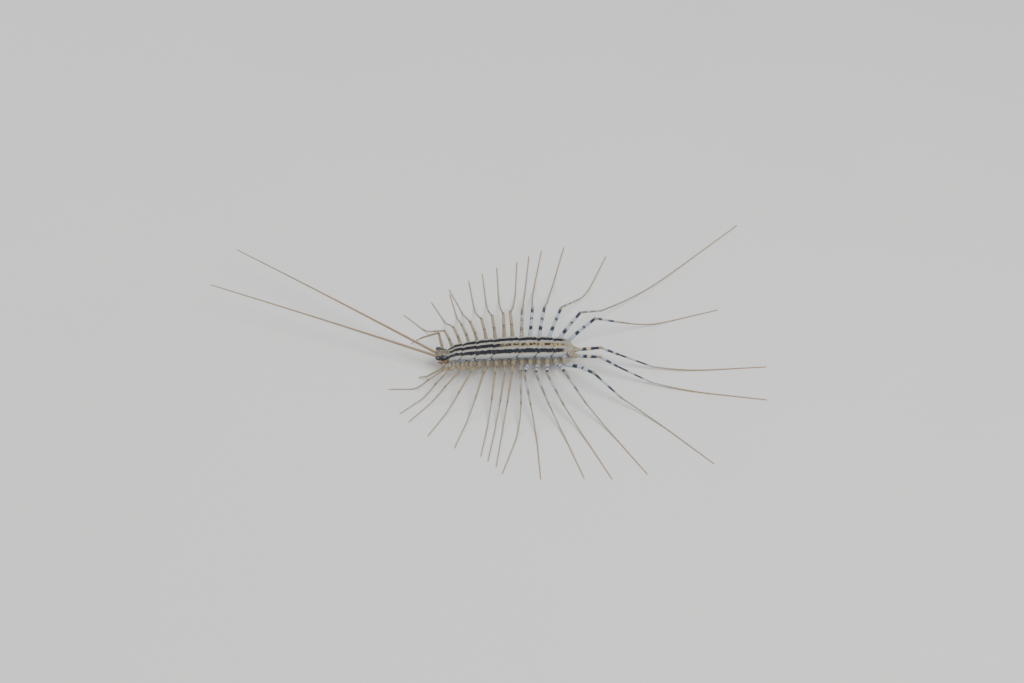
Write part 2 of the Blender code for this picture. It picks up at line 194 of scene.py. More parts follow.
# Headings are degrees forward of straight out from the body; stretch lengthens the tarsus.
Pose = namedtuple("Pose", "upper tibia tip stretch slopes", defaults=(STANDING,))
RIGHT_POSES = (
    Pose(32, 45, 46, 1.22),
    Pose(28, 18, 28, 1.06),
    Pose(28, 10, 14, 1.02),
    Pose(26, 12, 24, 1.01),
    Pose(17, 13, 9, 1.0),
    Pose(10, 10, 6, 1.0),
    Pose(3, 7, 3, 1.0),
    Pose(6, -7, -2, 1.0),
    Pose(-2, -3, -5, 1.0),
    Pose(-6, 0, -9, 1.0),
    Pose(-13, -8, -13, 1.0),
    Pose(-29, -31, -22, 0.88, REACHING),
    Pose(-52, -50, -47, 1.99, REACHING),
    Pose(-69, -68, -73, 0.98, REACHING),
    Pose(-102, -97, -86, 1.01, TRAILING),
)
LEFT_POSES = (
    Pose(37, 83, 90, 1.03),
    Pose(42, 61, 50, 1.0),
    Pose(32, 60, 42, 1.0),
    Pose(22, 41, 32, 0.98),
    Pose(9, 24, 20, 0.95),
    Pose(2, 9, 10, 0.93),
    Pose(-1, 12, 10, 0.92),
    Pose(2, 12, 8, 0.92),
    Pose(2, -1, 18, 0.95),
    Pose(12, -15, -4, 0.94),
    Pose(6, -31, -20, 0.94),
    Pose(1, -38, -27, 0.95),
    Pose(-16, -47, -34, 0.94),
    Pose(-48, -62, -46, 1.06, LEANING),
    Pose(-68, -75, -82, 1.02, TRAILING),
)
SIDES = ((-1, "left"), (1, "right"))


def body_scale(along):
    """The body's width there as a share of its greatest width."""
    offset = np.asarray(along, float) - WIDEST
    front = 1 - (np.clip(-offset, 0, FRONT_TAPER) / FRONT_TAPER) ** FRONT_POWER
    rear = 1 - np.clip(offset / REAR_TAPER, 0, 1) ** REAR_POWER
    return np.sqrt(np.where(offset < 0, front, rear))


def on_body(along, out=0.0, height=0.0):
    """Points beside the body's bowed middle line, straight in the head; out is to its right."""
    along = np.asarray(along, float)
    behind = np.maximum(along, HEAD_REAR)
    bow = BODY_TURN * behind - BODY_BOW * behind * behind + HEAD_TURN * (along - behind)
    parts = np.broadcast_arrays(BODY_X + along, BODY_Y + bow + out, height)
    return np.stack(parts, axis=-1)


def trunk_heights(along):
    share = 0.5 + 0.5 * body_scale(along)
    return TRUNK_ABOVE * share, TRUNK_BELOW * share


def step_between(low, high, values):
    """A smooth rise from 0 at low to 1 at high, which may be the smaller number."""
    share = np.clip((np.asarray(values, float) - low) / (high - low), 0, 1)
    return share * share * (3 - 2 * share)


def hump(values, middle, width):
    return np.exp(-(((np.asarray(values, float) - middle) / width) ** 2))


def blend(a, b, share):
    return a + (b - a) * share


def curve_through(points, steps):
    """Evenly counted points on a smooth curve through a few places."""
    padded = [2 * points[0] - points[1], *points, 2 * points[-1] - points[-2]]
    result = []
    for index in range(len(points) - 1):
        a, b, c, d = padded[index : index + 4]
        for step in range(steps):
            t = step / steps
            square = (2 * a - 5 * b + 4 * c - d) * t * t
            cube = (3 * b - a - 3 * c + d) * t * t * t
            result.append(0.5 * (2 * b + (c - a) * t + square + cube))
    result.append(points[-1])
    return np.array(result)


def outward(side, heading, slope):
    """Direction of a leg's length: degrees forward of straight out, and above level."""
    turn, rise = radians(heading), radians(slope)
    return np.array((-sin(turn) * cos(rise), side * cos(turn) * cos(rise), sin(rise)))


def hip(number, side):
    """Where a leg starts on the trunk's lower side, and the way the trunk faces there."""
    if number == PAIRS:
        along, out, height = LAST_HIP
        return on_body(along, side * out, height), outward(side, LAST_HIP_HEADING, 0)
    along = FIRST_HIP + HIP_SPACING * (number - 1)
    width = TRUNK_HALF_WIDTH * float(body_scale(along))
    width_before = TRUNK_HALF_WIDTH * float(body_scale(along - SLOPE_STEP))
    narrowing = (width_before - width) / SLOPE_STEP
    _, below = trunk_heights(along)
    turn = atan2(narrowing, 1.0)
    place = on_body(along, side * width * cos(HIP_ANGLE), TRUNK_MIDDLE_Z - below * sin(HIP_ANGLE))
    dip = atan2(sin(HIP_ANGLE) / below, cos(HIP_ANGLE) / width)
    facing = (sin(turn) * cos(dip), side * cos(turn) * cos(dip), -sin(dip))
    return place, np.array(facing)


Leg = namedtuple("Leg", "joints tarsus girth")


def leg_line(number, side, tarsus_radius):
    """A leg's joints, from its root to its ankle, and the points of its tarsus on the floor."""
    pose = (LEFT_POSES if side < 0 else RIGHT_POSES)[number - 1]
    slopes = pose.slopes
    girth = LAST_GIRTH if number == PAIRS else FIRST_GIRTH + GIRTH_GROWTH * number
    upper_leg = FIRST_UPPER_LEG + UPPER_LEG_GROWTH * (number - 1)
    prefemur = PREFEMUR_SHARE * upper_leg
    place, facing = hip(number, side)
    root = place + GAP * facing
    turn_up = root + COXA_LENGTH * facing
    knee_1 = turn_up + prefemur * outward(side, pose.upper, slopes.prefemur)
    knee_2 = knee_1 + (upper_leg - prefemur) * outward(side, pose.upper, slopes.femur)
    ankle = knee_2 + TIBIA_SHARE * upper_leg * outward(side, pose.tibia, slopes.tibia)
    tarsus = (FIRST_TARSUS + TARSUS_GROWTH * (number - 1)) * pose.stretch
    points = [ankle]
    where = ankle.copy()
    for count in range(1, TARSUS_STEPS + 1):
        share = count / TARSUS_STEPS
        heading = pose.tibia + (pose.tip - pose.tibia) * min(1.0, TIP_TURN * share)
        where = where + tarsus / TARSUS_STEPS * outward(side, heading, 0)
        rest = tarsus_radius * (1 - TARSUS_TAPER * share)
        where[2] = rest + (ankle[2] - rest) * max(0.0, 1 - share / FLOOR_REACH) ** FLOOR_EASE
        points.append(where.copy())
    return Leg((root, turn_up, knee_1, knee_2, ankle), points, girth)


def colour_setting(name, description, default):
    return FloatVectorProperty(
        name=name, description=description, default=default,
        size=3, subtype="COLOR", min=0.0, max=1.0,
    )


def length_setting(name, description, default):
    return FloatProperty(name=name, description=description, default=default, unit="LENGTH")


def share_setting(name, description, default):
    return FloatProperty(
        name=name, description=description, default=default,
        subtype="FACTOR", min=0.0, max=1.0,
    )


class PlateLooks(PropertyGroup):
    """Sizes and colours of the back plates."""

    stripe_from: share_setting("Stripe from", "Inner edge of each dark stripe", 0.39)
    stripe_to: share_setting("Stripe to", "Outer edge of each dark stripe", 0.73)
    bead: length_setting("Bead", "Height of the raised line along a plate's margin", 0.00005)
    saddle: length_setting("Saddle", "Height of the hump round the breathing slit", 0.00015)
    cream: colour_setting("Cream", "Pale ground of the plates", (0.34, 0.295, 0.21))
    frost: colour_setting("Frost", "Blue-white beside the stripes", (0.34, 0.36, 0.39))
    ink: colour_setting("Ink", "The two broad dark stripes", (0.008, 0.010, 0.017))
    brown: colour_setting("Brown", "The thin middle stripe", (0.035, 0.027, 0.022))
    orange: colour_setting("Orange", "Patches on the cheeks", (0.40, 0.21, 0.08))
    gold: colour_setting("Gold", "Breaks in the middle stripe", (0.36, 0.27, 0.09))


class SkinLooks(PropertyGroup):
    """Colours of the soft body below the plates."""

    lilac: colour_setting("Lilac", "Blue-grey flanks", (0.31, 0.34, 0.41))
    beige: colour_setting("Beige", "Underside and leg roots", (0.31, 0.25, 0.17))
    fold: colour_setting("Fold", "Shade in the folds", (0.07, 0.055, 0.05))
    hip_swell: length_setting("Hip swell", "How far the skin rises round each leg's root", 0.00016)


class LegLooks(PropertyGroup):
    """Sizes and colours of the legs."""

    tarsus_radius: length_setting("Tarsus radius", "Radius where the foot starts", 0.00015)
    article: length_setting("Article", "Length of one of the many rings of the tarsus", 0.0004)
    spine: length_setting("Spine", "Length of the spines at the joints", 0.0006)
    straw: colour_setting("Straw", "Plain colour of the front legs", (0.32, 0.26, 0.17))
    ice: colour_setting("Ice", "Pale lengths of the rear legs", (0.38, 0.42, 0.46))
    navy: colour_setting("Navy", "Dark bands", (0.024, 0.032, 0.055))
    tan: colour_setting("Tan", "Ends of the legs", (0.34, 0.21, 0.10))
    amber: colour_setting("Amber", "Pale band on the last pair", (0.62, 0.48, 0.32))


class FeelerLooks(PropertyGroup):
    """Sizes and colour of the two feelers."""

    rings: IntProperty(name="Rings", description="Rings along one feeler", default=300, min=20)
    thick: length_setting("Thick", "Radius at the root", 0.00029)
    thin: length_setting("Thin", "Radius at the tip", 0.00011)
    tan: colour_setting("Tan", "Colour of the feelers", (0.32, 0.235, 0.14))


class HeadLooks(PropertyGroup):
    """Sizes and colours of the head, eyes and mouth."""

    grain: length_setting("Grain", "Size of the cells that the head is shaped from", 0.00005)
    eye: colour_setting("Eye", "Colour of the eyes", (0.012, 0.014, 0.028))
    rust: colour_setting("Rust", "Poison claws", (0.36, 0.17, 0.06))


class StageLooks(PropertyGroup):
    """Floor, light and camera."""

    floor: colour_setting("Floor", "Colour of the floor", (0.74, 0.73, 0.71))
    lens: FloatProperty(
        name="Lens", description="Focal length of the camera, in millimetres", default=62.7
    )
    camera_height: length_setting("Camera height", "Height of the camera over the floor", 0.273)
    camera_back: length_setting("Camera back", "How far the camera stands back", 0.22366)
    camera_tilt: FloatProperty(
        name="Camera tilt", description="How far the camera looks up from straight down",
        default=radians(40), unit="ROTATION",
    )
    light: FloatProperty(
        name="Light", description="Strength of the studio lamps", default=1.0, min=0.0
    )


def looks():
    return bpy.context.scene.centipede


def shade(colour, share):
    return tuple(share * value for value in colour)


class Socket:
    """One output of a shader node, so that sums on it can be written as expressions."""

    def __init__(self, finish, link):
        self.finish = finish
        self.link = link

    def maths(self, operation, *values):
        return self.finish.node("Math", {"operation": operation}, dict(enumerate(values)))

    def __add__(self, other):
        return self.maths("ADD", self, other)

    def __sub__(self, other):
        return self.maths("SUBTRACT", self, other)

    def __rsub__(self, other):
        return self.maths("SUBTRACT", other, self)

    def __mul__(self, other):
        return self.maths("MULTIPLY", self, other)

    def __truediv__(self, other):
        return self.maths("DIVIDE", self, other)

    def __abs__(self):
        return self.maths("ABSOLUTE", self)

    __radd__ = __add__
    __rmul__ = __mul__


class Finish:
    """A material with one Principled shader, whose patterns are added by its methods."""

    def __init__(self, name, roughness, **constants):
        self.material = bpy.data.materials.new(name)
        self.material.use_nodes = True
        self.tree = self.material.node_tree
        self.shader = self.tree.nodes["Principled BSDF"]
        self.shader.inputs["Roughness"].default_value = roughness
        for socket, value in constants.items():
            self.shader.inputs[socket.replace("_", " ")].default_value = value

    def node(self, kind, settings=None, sockets=None, output=0):
        """Adds a shader node, sets its settings, then its sockets, and gives one output."""
        made = self.tree.nodes.new("ShaderNode" + kind)
        for name, value in (settings or {}).items():
            if name == "stops":
                self.set_stops(made.color_ramp, value)
            else:
                setattr(made, name, value)
        for name, value in (sockets or {}).items():
            self.feed(made.inputs[name], value)
        return Socket(self, made.outputs[output])

    def feed(self, socket, value):
        if isinstance(value, Socket):
            self.tree.links.new(value.link, socket)
        elif hasattr(value, "__len__") and len(value) == 3 and socket.type == "RGBA":
            socket.default_value = (*value, 1.0)
        else:
            socket.default_value = value

    @staticmethod
    def set_stops(ramp, stops):
        while len(ramp.elements) < len(stops):
            ramp.elements.new(1.0)
        for element, (position, colour) in zip(ramp.elements, stops):
            element.position = position
            element.color = (*colour, 1.0)

    def place(self):
        """The piece's own place attribute, as three numbers."""
        vector = self.node("Attribute", {"attribute_name": PLACE}, output="Vector")
        split = self.node("SeparateXYZ", None, {0: vector})
        return [Socket(self, split.link.node.outputs[axis]) for axis in "XYZ"]

    def spots(self):
        """Object coordinates in millimetres, for patterns that fill the space."""
        own = self.node("TexCoord", output="Object")
        settings = {"operation": "SCALE"}
        return self.node("VectorMath", settings, {0: own, "Scale": 1 / MM})

    def noise(self, scale, detail, stretch=(1, 1, 1)):
        """A cloudy number from 0 to 1, with cells of about one over scale millimetres."""
        settings = {"operation": "MULTIPLY"}
        vector = self.node("VectorMath", settings, {0: self.spots(), 1: stretch})
        sockets = {"Vector": vector, "Scale": scale, "Detail": detail}
        return self.node("TexNoise", None, sockets)

    def cells(self, scale):
        """The distance to the nearest border between small cells."""
        sockets = {"Vector": self.spots(), "Scale": scale}
        return self.node("TexVoronoi", {"feature": "DISTANCE_TO_EDGE"}, sockets)

    def ease(self, value, low, high):
        """A smooth rise from 0 at low to 1 at high."""
        sockets = {"Value": value, "From Min": low, "From Max": high}
        return self.node("MapRange", {"interpolation_type": "SMOOTHSTEP"}, sockets)

    def band(self, value, low, high, soft):
        """1 between low and high, falling smoothly to 0 outside."""
        rise = self.ease(value, low - soft, low + soft)
        fall = self.ease(value, high - soft, high + soft)
        return rise * (1 - fall)

    def mix(self, a, b, factor):
        settings = {"data_type": "RGBA"}
        return self.node("Mix", settings, {0: factor, 6: a, 7: b}, output=2)

    def done(self, colour, roughness=None, height=None, distance=0.0, strength=1.0):
        """The material, with its surface raised where height is 1, by distance in millimetres."""
        self.feed(self.shader.inputs["Base Color"], colour)
        if roughness is not None:
            self.feed(self.shader.inputs["Roughness"], roughness)
        if height is not None:
            sockets = {"Height": height, "Distance": distance * MM, "Strength": strength}
            self.feed(self.shader.inputs["Normal"], self.node("Bump", None, sockets))
        return self.material


def plate_finish():
    """Cream plates with two broad dark stripes and a thin broken one between them.

    The place attribute holds the share of the half width and the distance to the rear edge.
    """
    look = looks().plates
    finish = Finish("plate_cuticle", 0.36, Coat_Roughness=0.25, Specular_IOR_Level=0.3)
    across, from_rear, along = finish.place()
    wobble = finish.noise(1.3, 4.0) - 0.5
    fine = finish.noise(6.0, 3.0)
    saw = finish.noise(2.6, 2.0, (1.0, 0.3, 0.3)) - 0.5
    share = abs(across) + 0.15 * wobble + 0.05 * (fine - 0.5) + 0.2 * saw
    fade = 1 - finish.ease(along + 1.2 * wobble, 9.6, 10.8)
    stripe = finish.band(share, look.stripe_from, look.stripe_to, 0.025) * fade
    seam = 1 - finish.ease(from_rear + 0.12 * wobble, 0.04, 0.1)
    rearward = finish.ease(along, -3.5, 0.5)
    beads = finish.noise(1.2, 2.0, (1.0, 0.5, 0.5))
    gaps = rearward * finish.band(beads, 0.47, 0.55, 0.02)
    narrowed = abs(across) + 0.05 * rearward
    middle = finish.band(narrowed + 0.08 * wobble + 0.07 * saw, -1.0, 0.17, 0.025)
    middle = middle * (1 - gaps) * fade
    spot = finish.band(abs(across) + 0.05 * wobble, -1.0, 0.10, 0.03) * gaps
    cloud = finish.ease(finish.noise(1.9, 5.0), 0.35, 0.7)
    ground = finish.mix(look.cream, shade(look.cream, 0.78), cloud)
    inner = finish.band(abs(across), 0.13, 0.36, 0.06) * finish.ease(wobble, 0.02, 0.2)
    ground = finish.mix(ground, look.frost, 0.5 * finish.band(abs(across), 0.24, 0.42, 0.06))
    ground = finish.mix(ground, shade(look.cream, 0.5), 0.45 * inner)
    rim = finish.ease(abs(across) + 0.06 * wobble, 0.76, 0.86)
    edge = finish.ease(abs(across) + 0.04 * wobble, 0.93, 0.985)
    ground = finish.mix(ground, look.frost, 0.9 * rim)
    ground = finish.mix(ground, look.cream, 0.55 * edge)
    colour = finish.mix(ground, finish.mix(look.ink, look.brown, rearward), middle)
    colour = finish.mix(colour, look.gold, 0.75 * spot)
    colour = finish.mix(colour, look.ink, stripe * (1 - 0.3 * seam))
    finish.feed(finish.shader.inputs["Coat Weight"], 0.08 * stripe)
    rough = 0.28 + 0.25 * fine + 0.06 * rim
    return finish.done(colour, rough, 0.5 * finish.cells(9.0) + 0.5 * fine, 0.03, 0.6)


def skin_finish():
    """Blue-grey flanks that turn beige below, with painted shade in every fold and groove."""
    look = looks().skin
    depth_of_light = (0.0006, 0.0004, 0.0003)
    finish = Finish("flank_skin", 0.5, Subsurface_Weight=0.08, Subsurface_Radius=depth_of_light)
    around, fold_shade, along = finish.place()
    cloud = finish.noise(1.5, 5.0)
    fine = finish.noise(7.0, 3.0)
    below = finish.ease(around + 0.2 * (cloud - 0.5), 0.46, 0.58)
    pale = shade(look.lilac, 1.3)
    flank = finish.mix(look.lilac, pale, finish.ease(cloud, 0.42, 0.58))
    colour = finish.mix(flank, look.beige, below)
    vein = 1 - finish.ease(finish.cells(1.1), 0.01, 0.09)
    colour = finish.mix(colour, look.fold, 0.2 * vein)
    colour = finish.mix(colour, look.beige, finish.ease(along + 0.8 * (cloud - 0.5), 10.6, 11.6))
    # Painted shade: the fold colour darkens the folds, creases and grooves, less where the skin
    # swells round the leg roots.
    colour = finish.mix(colour, look.fold, finish.ease(fold_shade, 0.25, 1.0))
    colour = finish.mix(colour, look.fold, 0.3 * finish.ease(finish.noise(3.5, 4.0), 0.5, 0.7))
    return finish.done(colour, 0.42 + 0.2 * fine, 0.6 * finish.cells(6.0) + 0.4 * fine, 0.04, 0.5)


def head_finish():
    """Beige head with a dark patch behind each eye that runs on into the stripes."""
    plates = looks().plates
    finish = Finish("head_cuticle", 0.36)
    across, down, up = finish.place()
    wobble = finish.noise(1.8, 4.0) - 0.5
    fine = finish.noise(8.0, 3.0)
    side = abs(across) + 0.10 * wobble
    ball = finish.ease(down, 0.05, 0.3)
    patch = finish.ease(side + 0.06 * ball, 0.46, 0.52)
    patch = patch * (1 - finish.ease(down + 0.12 * wobble, 0.55, 0.62))
    patch = patch * finish.ease(up + 0.25 * ball + 0.15 * wobble, 0.15, 0.3)
    cheek = finish.ease(side, 0.55, 0.75) * finish.band(up + 0.3 * wobble, -0.5, 0.02, 0.08)
    cheek = cheek * (1 - finish.ease(down + 0.2 * wobble, 0.36, 0.46))
    brow = finish.band(side, 0.14, 0.24, 0.05) * finish.band(down, 0.1, 0.5, 0.08)
    brow = brow * finish.ease(up, 0.3, 0.5)
    front = finish.ease(down, 0.82, 0.95)
    cloud = finish.ease(finish.noise(2.5, 5.0), 0.35, 0.65)
    colour = finish.mix(shade(plates.cream, 0.95), shade(plates.cream, 0.5), cloud)
    colour = finish.mix(colour, plates.brown, 0.45 * finish.band(side, -1.0, 0.3, 0.1))
    colour = finish.mix(colour, plates.orange, 0.25 * front)
    colour = finish.mix(colour, plates.orange, 0.7 * cheek)
    colour = finish.mix(colour, plates.brown, 0.45 * brow)
    colour = finish.mix(colour, plates.ink, patch)
    return finish.done(colour, 0.3 + 0.2 * fine, 0.5 * finish.cells(9.0) + 0.5 * fine, 0.025, 0.5)


def leg_finish():
    """Straw front legs, ice and navy bands on the rear ones, and tan ends.

    The place attribute holds the joint place from 0 to 5, how banded the leg is from 0 to 2, and
    1 on the last pair, whose bands differ.
    """
    look = looks().legs
    chosen = (look.straw, look.ice, look.navy, look.tan, look.amber)
    straw, ice, navy, tan, amber = (tuple(value) for value in chosen)
    snow = shade(ice, 1.25)
    finish = Finish("leg_cuticle", 0.42)
    place, banding, last = finish.place()
    cloud = finish.noise(2.2, 4.0)
    fine = finish.noise(9.0, 2.0)
    drift = finish.noise(0.3, 1.0)
    read = (place + 0.36 * (drift - 0.5) + 0.2 * (cloud - 0.5)) / 5.0

    def ramp(stops):
        settings = {"stops": [(joint / 5.0, colour) for joint, colour in stops]}
        return finish.node("ValToRGB", settings, {0: read})

    dim = shade(straw, 0.55)
    plain = ramp((
        (0.0, straw), (1.85, straw), (1.97, dim), (2.12, straw), (2.9, straw), (3.0, dim),
        (3.12, straw), (3.9, straw), (4.02, dim), (4.1, straw), (4.5, straw), (5.0, tan),
    ))
    banded = ramp((
        (0.0, straw), (1.02, straw), (1.14, ice), (1.60, snow), (1.65, navy), (1.82, navy),
        (1.87, snow), (2.02, snow), (2.14, ice), (2.2, navy), (2.27, navy), (2.33, ice),
        (2.62, snow), (2.68, navy), (2.92, navy), (2.97, straw), (3.03, straw), (3.07, navy),
        (3.2, navy), (3.25, snow), (3.46, ice), (3.51, navy), (3.66, navy), (3.72, ice),
        (3.96, straw), (4.02, dim), (4.12, straw), (5.0, tan),
    ))
    hind = ramp((
        (0.0, straw), (0.9, straw), (1.05, ice), (1.18, ice), (1.22, navy), (1.40, navy),
        (1.44, amber), (1.62, amber), (1.66, navy), (1.90, navy), (1.94, straw), (2.1, straw),
        (2.16, ice), (2.34, ice), (2.4, navy), (2.6, navy), (2.66, ice), (2.76, ice),
        (2.82, navy), (3.22, navy), (3.28, ice), (3.5, ice), (3.56, navy), (3.80, navy),
        (3.88, ice), (4.1, straw), (4.3, tan), (5.0, tan),
    ))
    calm = finish.band(place + 0.2 * (cloud - 0.5), 2.97, 3.9, 0.04)
    calm = calm * (1 - finish.ease(banding, 1.3, 1.7))
    pale = [0.7 * a + 0.3 * b for a, b in zip(straw, snow)]
    banded = finish.mix(banded, pale, 0.5 * calm)
    colour = finish.mix(plain, banded, finish.ease(banding + 0.8 * (cloud - 0.5), 0.44, 0.56))
    colour = finish.mix(colour, hind, last)
    colour = finish.mix(colour, (0.05, 0.04, 0.035), 0.3 * finish.ease(cloud, 0.55, 0.75))
    return finish.done(colour, 0.34 + 0.22 * fine, 0.5 * finish.cells(8.0) + 0.5 * fine, 0.025, 0.5)


def feeler_finish():
    """Tan rings, darker in the grooves between them and paler towards the tip."""
    look = looks().feelers
    finish = Finish("feeler_cuticle", 0.5)
    along, groove, _ = finish.place()
    cloud = finish.noise(1.2, 3.0, (0.3, 1, 1))
    pale = shade(look.tan, 1.25)
    colour = finish.mix(look.tan, pale, finish.ease(along, 0.1, 0.9))
    colour = finish.mix(colour, shade(look.tan, 0.6), 0.4 * finish.ease(cloud, 0.5, 0.7))
    colour = finish.mix(colour, shade(look.tan, 0.35), 0.5 * groove)
    return finish.done(colour, 0.42 + 0.15 * cloud, finish.noise(14.0, 2.0), 0.02, 0.4)


def eye_finish():
    """Wet blue-black, with cloudy patches of painted purple-brown sheen."""
    look = looks().head
    finish = Finish("eye_lens", 0.12, Coat_Weight=0.6, Coat_Roughness=0.05)
    # Painted sheen: cloudy patches mixed towards a paler purple-brown.
    painted_sheen = finish.ease(finish.noise(1.4, 2.0), 0.4, 0.65)
    colour = finish.mix(look.eye, (0.035, 0.022, 0.03), painted_sheen)
    return finish.done(colour, 0.1 + 0.1 * finish.noise(5.0, 2.0))


def claw_finish():
    """Cream claws that redden towards their nearly black points."""
    look = looks().head
    finish = Finish("claw_cuticle", 0.28)
    along, _, _ = finish.place()
    cloud = finish.noise(3.0, 3.0)
    colour = finish.mix(shade(look.rust, 1.5), look.rust, cloud)
    red = finish.ease(along + 0.2 * (cloud - 0.5), 0.3, 0.6)
    colour = finish.mix(looks().plates.cream, colour, red)
    colour = finish.mix(colour, (0.02, 0.012, 0.01), finish.ease(along, 0.72, 0.97))
    return finish.done(colour, 0.22 + 0.2 * cloud, finish.noise(12.0, 2.0), 0.015, 0.4)


def bristle_finish():
    finish = Finish("bristle", 0.4)
    colour = finish.mix((0.10, 0.07, 0.045), (0.28, 0.2, 0.12), finish.noise(2.0, 2.0))
    return finish.done(colour)


def floor_finish():
    look = looks().stage
    finish = Finish("studio_floor", 0.75)
    tone = finish.noise(0.03, 3.0)
    return finish.done(finish.mix(look.floor, shade(look.floor, 0.96), tone))


def finish_named(name, maker):
    """The material of that name, made on its first use."""
    return bpy.data.materials.get(name) or maker()


def add_object(name, data):
    obj = bpy.data.objects.new(name, data)
    bpy.context.scene.collection.objects.link(obj)
    return obj


def make_mesh(name, points, faces, material, places, lies):
    """An object of millimetre points, with a place for the patterns and a lie for the hairs."""
    mesh = bpy.data.meshes.new(name)
    mesh.from_pydata((np.asarray(points, float) * MM).tolist(), [], faces)
    for attribute, values in ((PLACE, places), (LIE, lies)):
        layer = mesh.attributes.new(attribute, "FLOAT_VECTOR", "POINT")
        values = np.broadcast_to(values, np.shape(points)).astype(np.float32)
        layer.data.foreach_set("vector", values.ravel())
    shape = bmesh.new()
    shape.from_mesh(mesh)
    bmesh.ops.recalc_face_normals(shape, faces=shape.faces)
    shape.to_mesh(mesh)
    shape.free()
    mesh.shade_smooth()
    mesh.materials.append(material)
    return add_object(name, mesh)


def plain_mesh(obj):
    """Turns an object and its modifiers into one plain mesh object."""
    graph = bpy.context.evaluated_depsgraph_get()
    mesh = bpy.data.meshes.new_from_object(
        obj.evaluated_get(graph), preserve_all_data_layers=True, depsgraph=graph
    )
    name = obj.name
    old = obj.data
    made = add_object(name, mesh)
    bpy.data.objects.remove(obj, do_unlink=True)
    if isinstance(old, bpy.types.Mesh):
        bpy.data.meshes.remove(old)
    made.name = name
    mesh.name = name
    return made


def settle(obj, slot, *nodes):
    """Rides the piece on the body and hides the solids it stands for."""
    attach(obj, "root")
    if nodes:
        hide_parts(*nodes)
    return obj


def tube_faces(rings, sides):
    faces = []
    for ring in range(rings - 1):
        for corner in range(sides):
            after = (corner + 1) % sides
            near, far = ring * sides, (ring + 1) * sides
            faces.append((near + corner, near + after, far + after, far + corner))
    last = (rings - 1) * sides
    faces.append(tuple(range(sides)))
    faces.append(tuple(range(last, last + sides)))
    return faces


def tube(places, radii, sides, ridge=0.0):
    """Rings of points round a line, with four low ridges, the line's directions, and faces."""
    places = np.asarray(places, float)
    steps = np.diff(places, axis=0)
    steps /= np.linalg.norm(steps, axis=1)[:, None]
    along = np.vstack([steps[:1], steps[:-1] + steps[1:], steps[-1:]])
    along /= np.linalg.norm(along, axis=1)[:, None]
    across = np.cross(along, (0, 0, 1))
    across /= np.linalg.norm(across, axis=1)[:, None]
    over = np.cross(across, along)
    angles = 2 * pi * np.arange(sides) / sides
    girth = 1 + ridge * np.cos(4 * angles)
    offsets = np.cos(angles)[None, :, None] * across[:, None, :]
    offsets = offsets + np.sin(angles)[None, :, None] * over[:, None, :]
    reach = np.asarray(radii, float)[:, None, None] * girth[None, :, None]
    points = places[:, None, :] + reach * offsets
    return points.reshape(-1, 3), np.repeat(along, sides, axis=0), tube_faces(len(places), sides)


class Gather:
    """Collects tubes and cones with their attributes, to be made into one mesh."""

    def __init__(self):
        self.points = []
        self.places = []
        self.lies = []
        self.faces = []
        self.count = 0

    def add(self, points, places, lies, faces):
        self.points.append(points)
        self.places.append(np.broadcast_to(places, points.shape))
        self.lies.append(np.broadcast_to(lies, points.shape))
        self.faces += [tuple(index + self.count for index in face) for face in faces]
        self.count += len(points)

    def spike(self, root, tip, radius, place, bend=(0, 0, 0)):
        """A pointed spine from root to tip, which may bow a little."""
        root, tip = np.asarray(root, float), np.asarray(tip, float)
        line = [root, blend(root, tip, 0.5) + bend, tip]
        points, lies, faces = tube(line, (radius, 0.6 * radius, 0.04 * radius), SPINE_SIDES)
        self.add(points, place, lies, faces)

    def make(self, name, material):
        """One mesh object of all that was collected, with nothing below the floor."""
        points, places, lies = (np.vstack(rows) for rows in (self.points, self.places, self.lies))
        points[:, 2] = np.maximum(points[:, 2], 0.0)
        return make_mesh(name, points, self.faces, material, places, lies)


def skin_section(along):
    """The skin's middle height, half width, rise and drop, from the neck to the tail."""
    above, below = trunk_heights(along)
    width = TRUNK_HALF_WIDTH * body_scale(along)
    middle = np.full_like(along, TRUNK_MIDDLE_Z)
    neck = step_between(HEAD_REAR + 0.25, HEAD_REAR - 0.35, along)
    tail = step_between(TAIL_END - 1.4, TAIL_END - TAIL_ROUND, along)
    close = 1 - ((along - TAIL_END + TAIL_ROUND) / (TAIL_ROUND + 0.03)) ** 2
    close = np.sqrt(np.clip(close, 0.0025, 1))
    close = np.where(along > TAIL_END - TAIL_ROUND, close, 1.0)
    targets = (
        (middle, 3.9, TAIL_Z),
        (width, 0.8, TAIL_HALF_WIDTH * close),
        (above, 0.55, TAIL_HALF_HEIGHT * close),
        (below, 0.6, TAIL_HALF_HEIGHT * close),
    )
    return [
        blend(blend(trunk, at_neck, neck), at_tail, tail) for trunk, at_neck, at_tail in targets
    ]


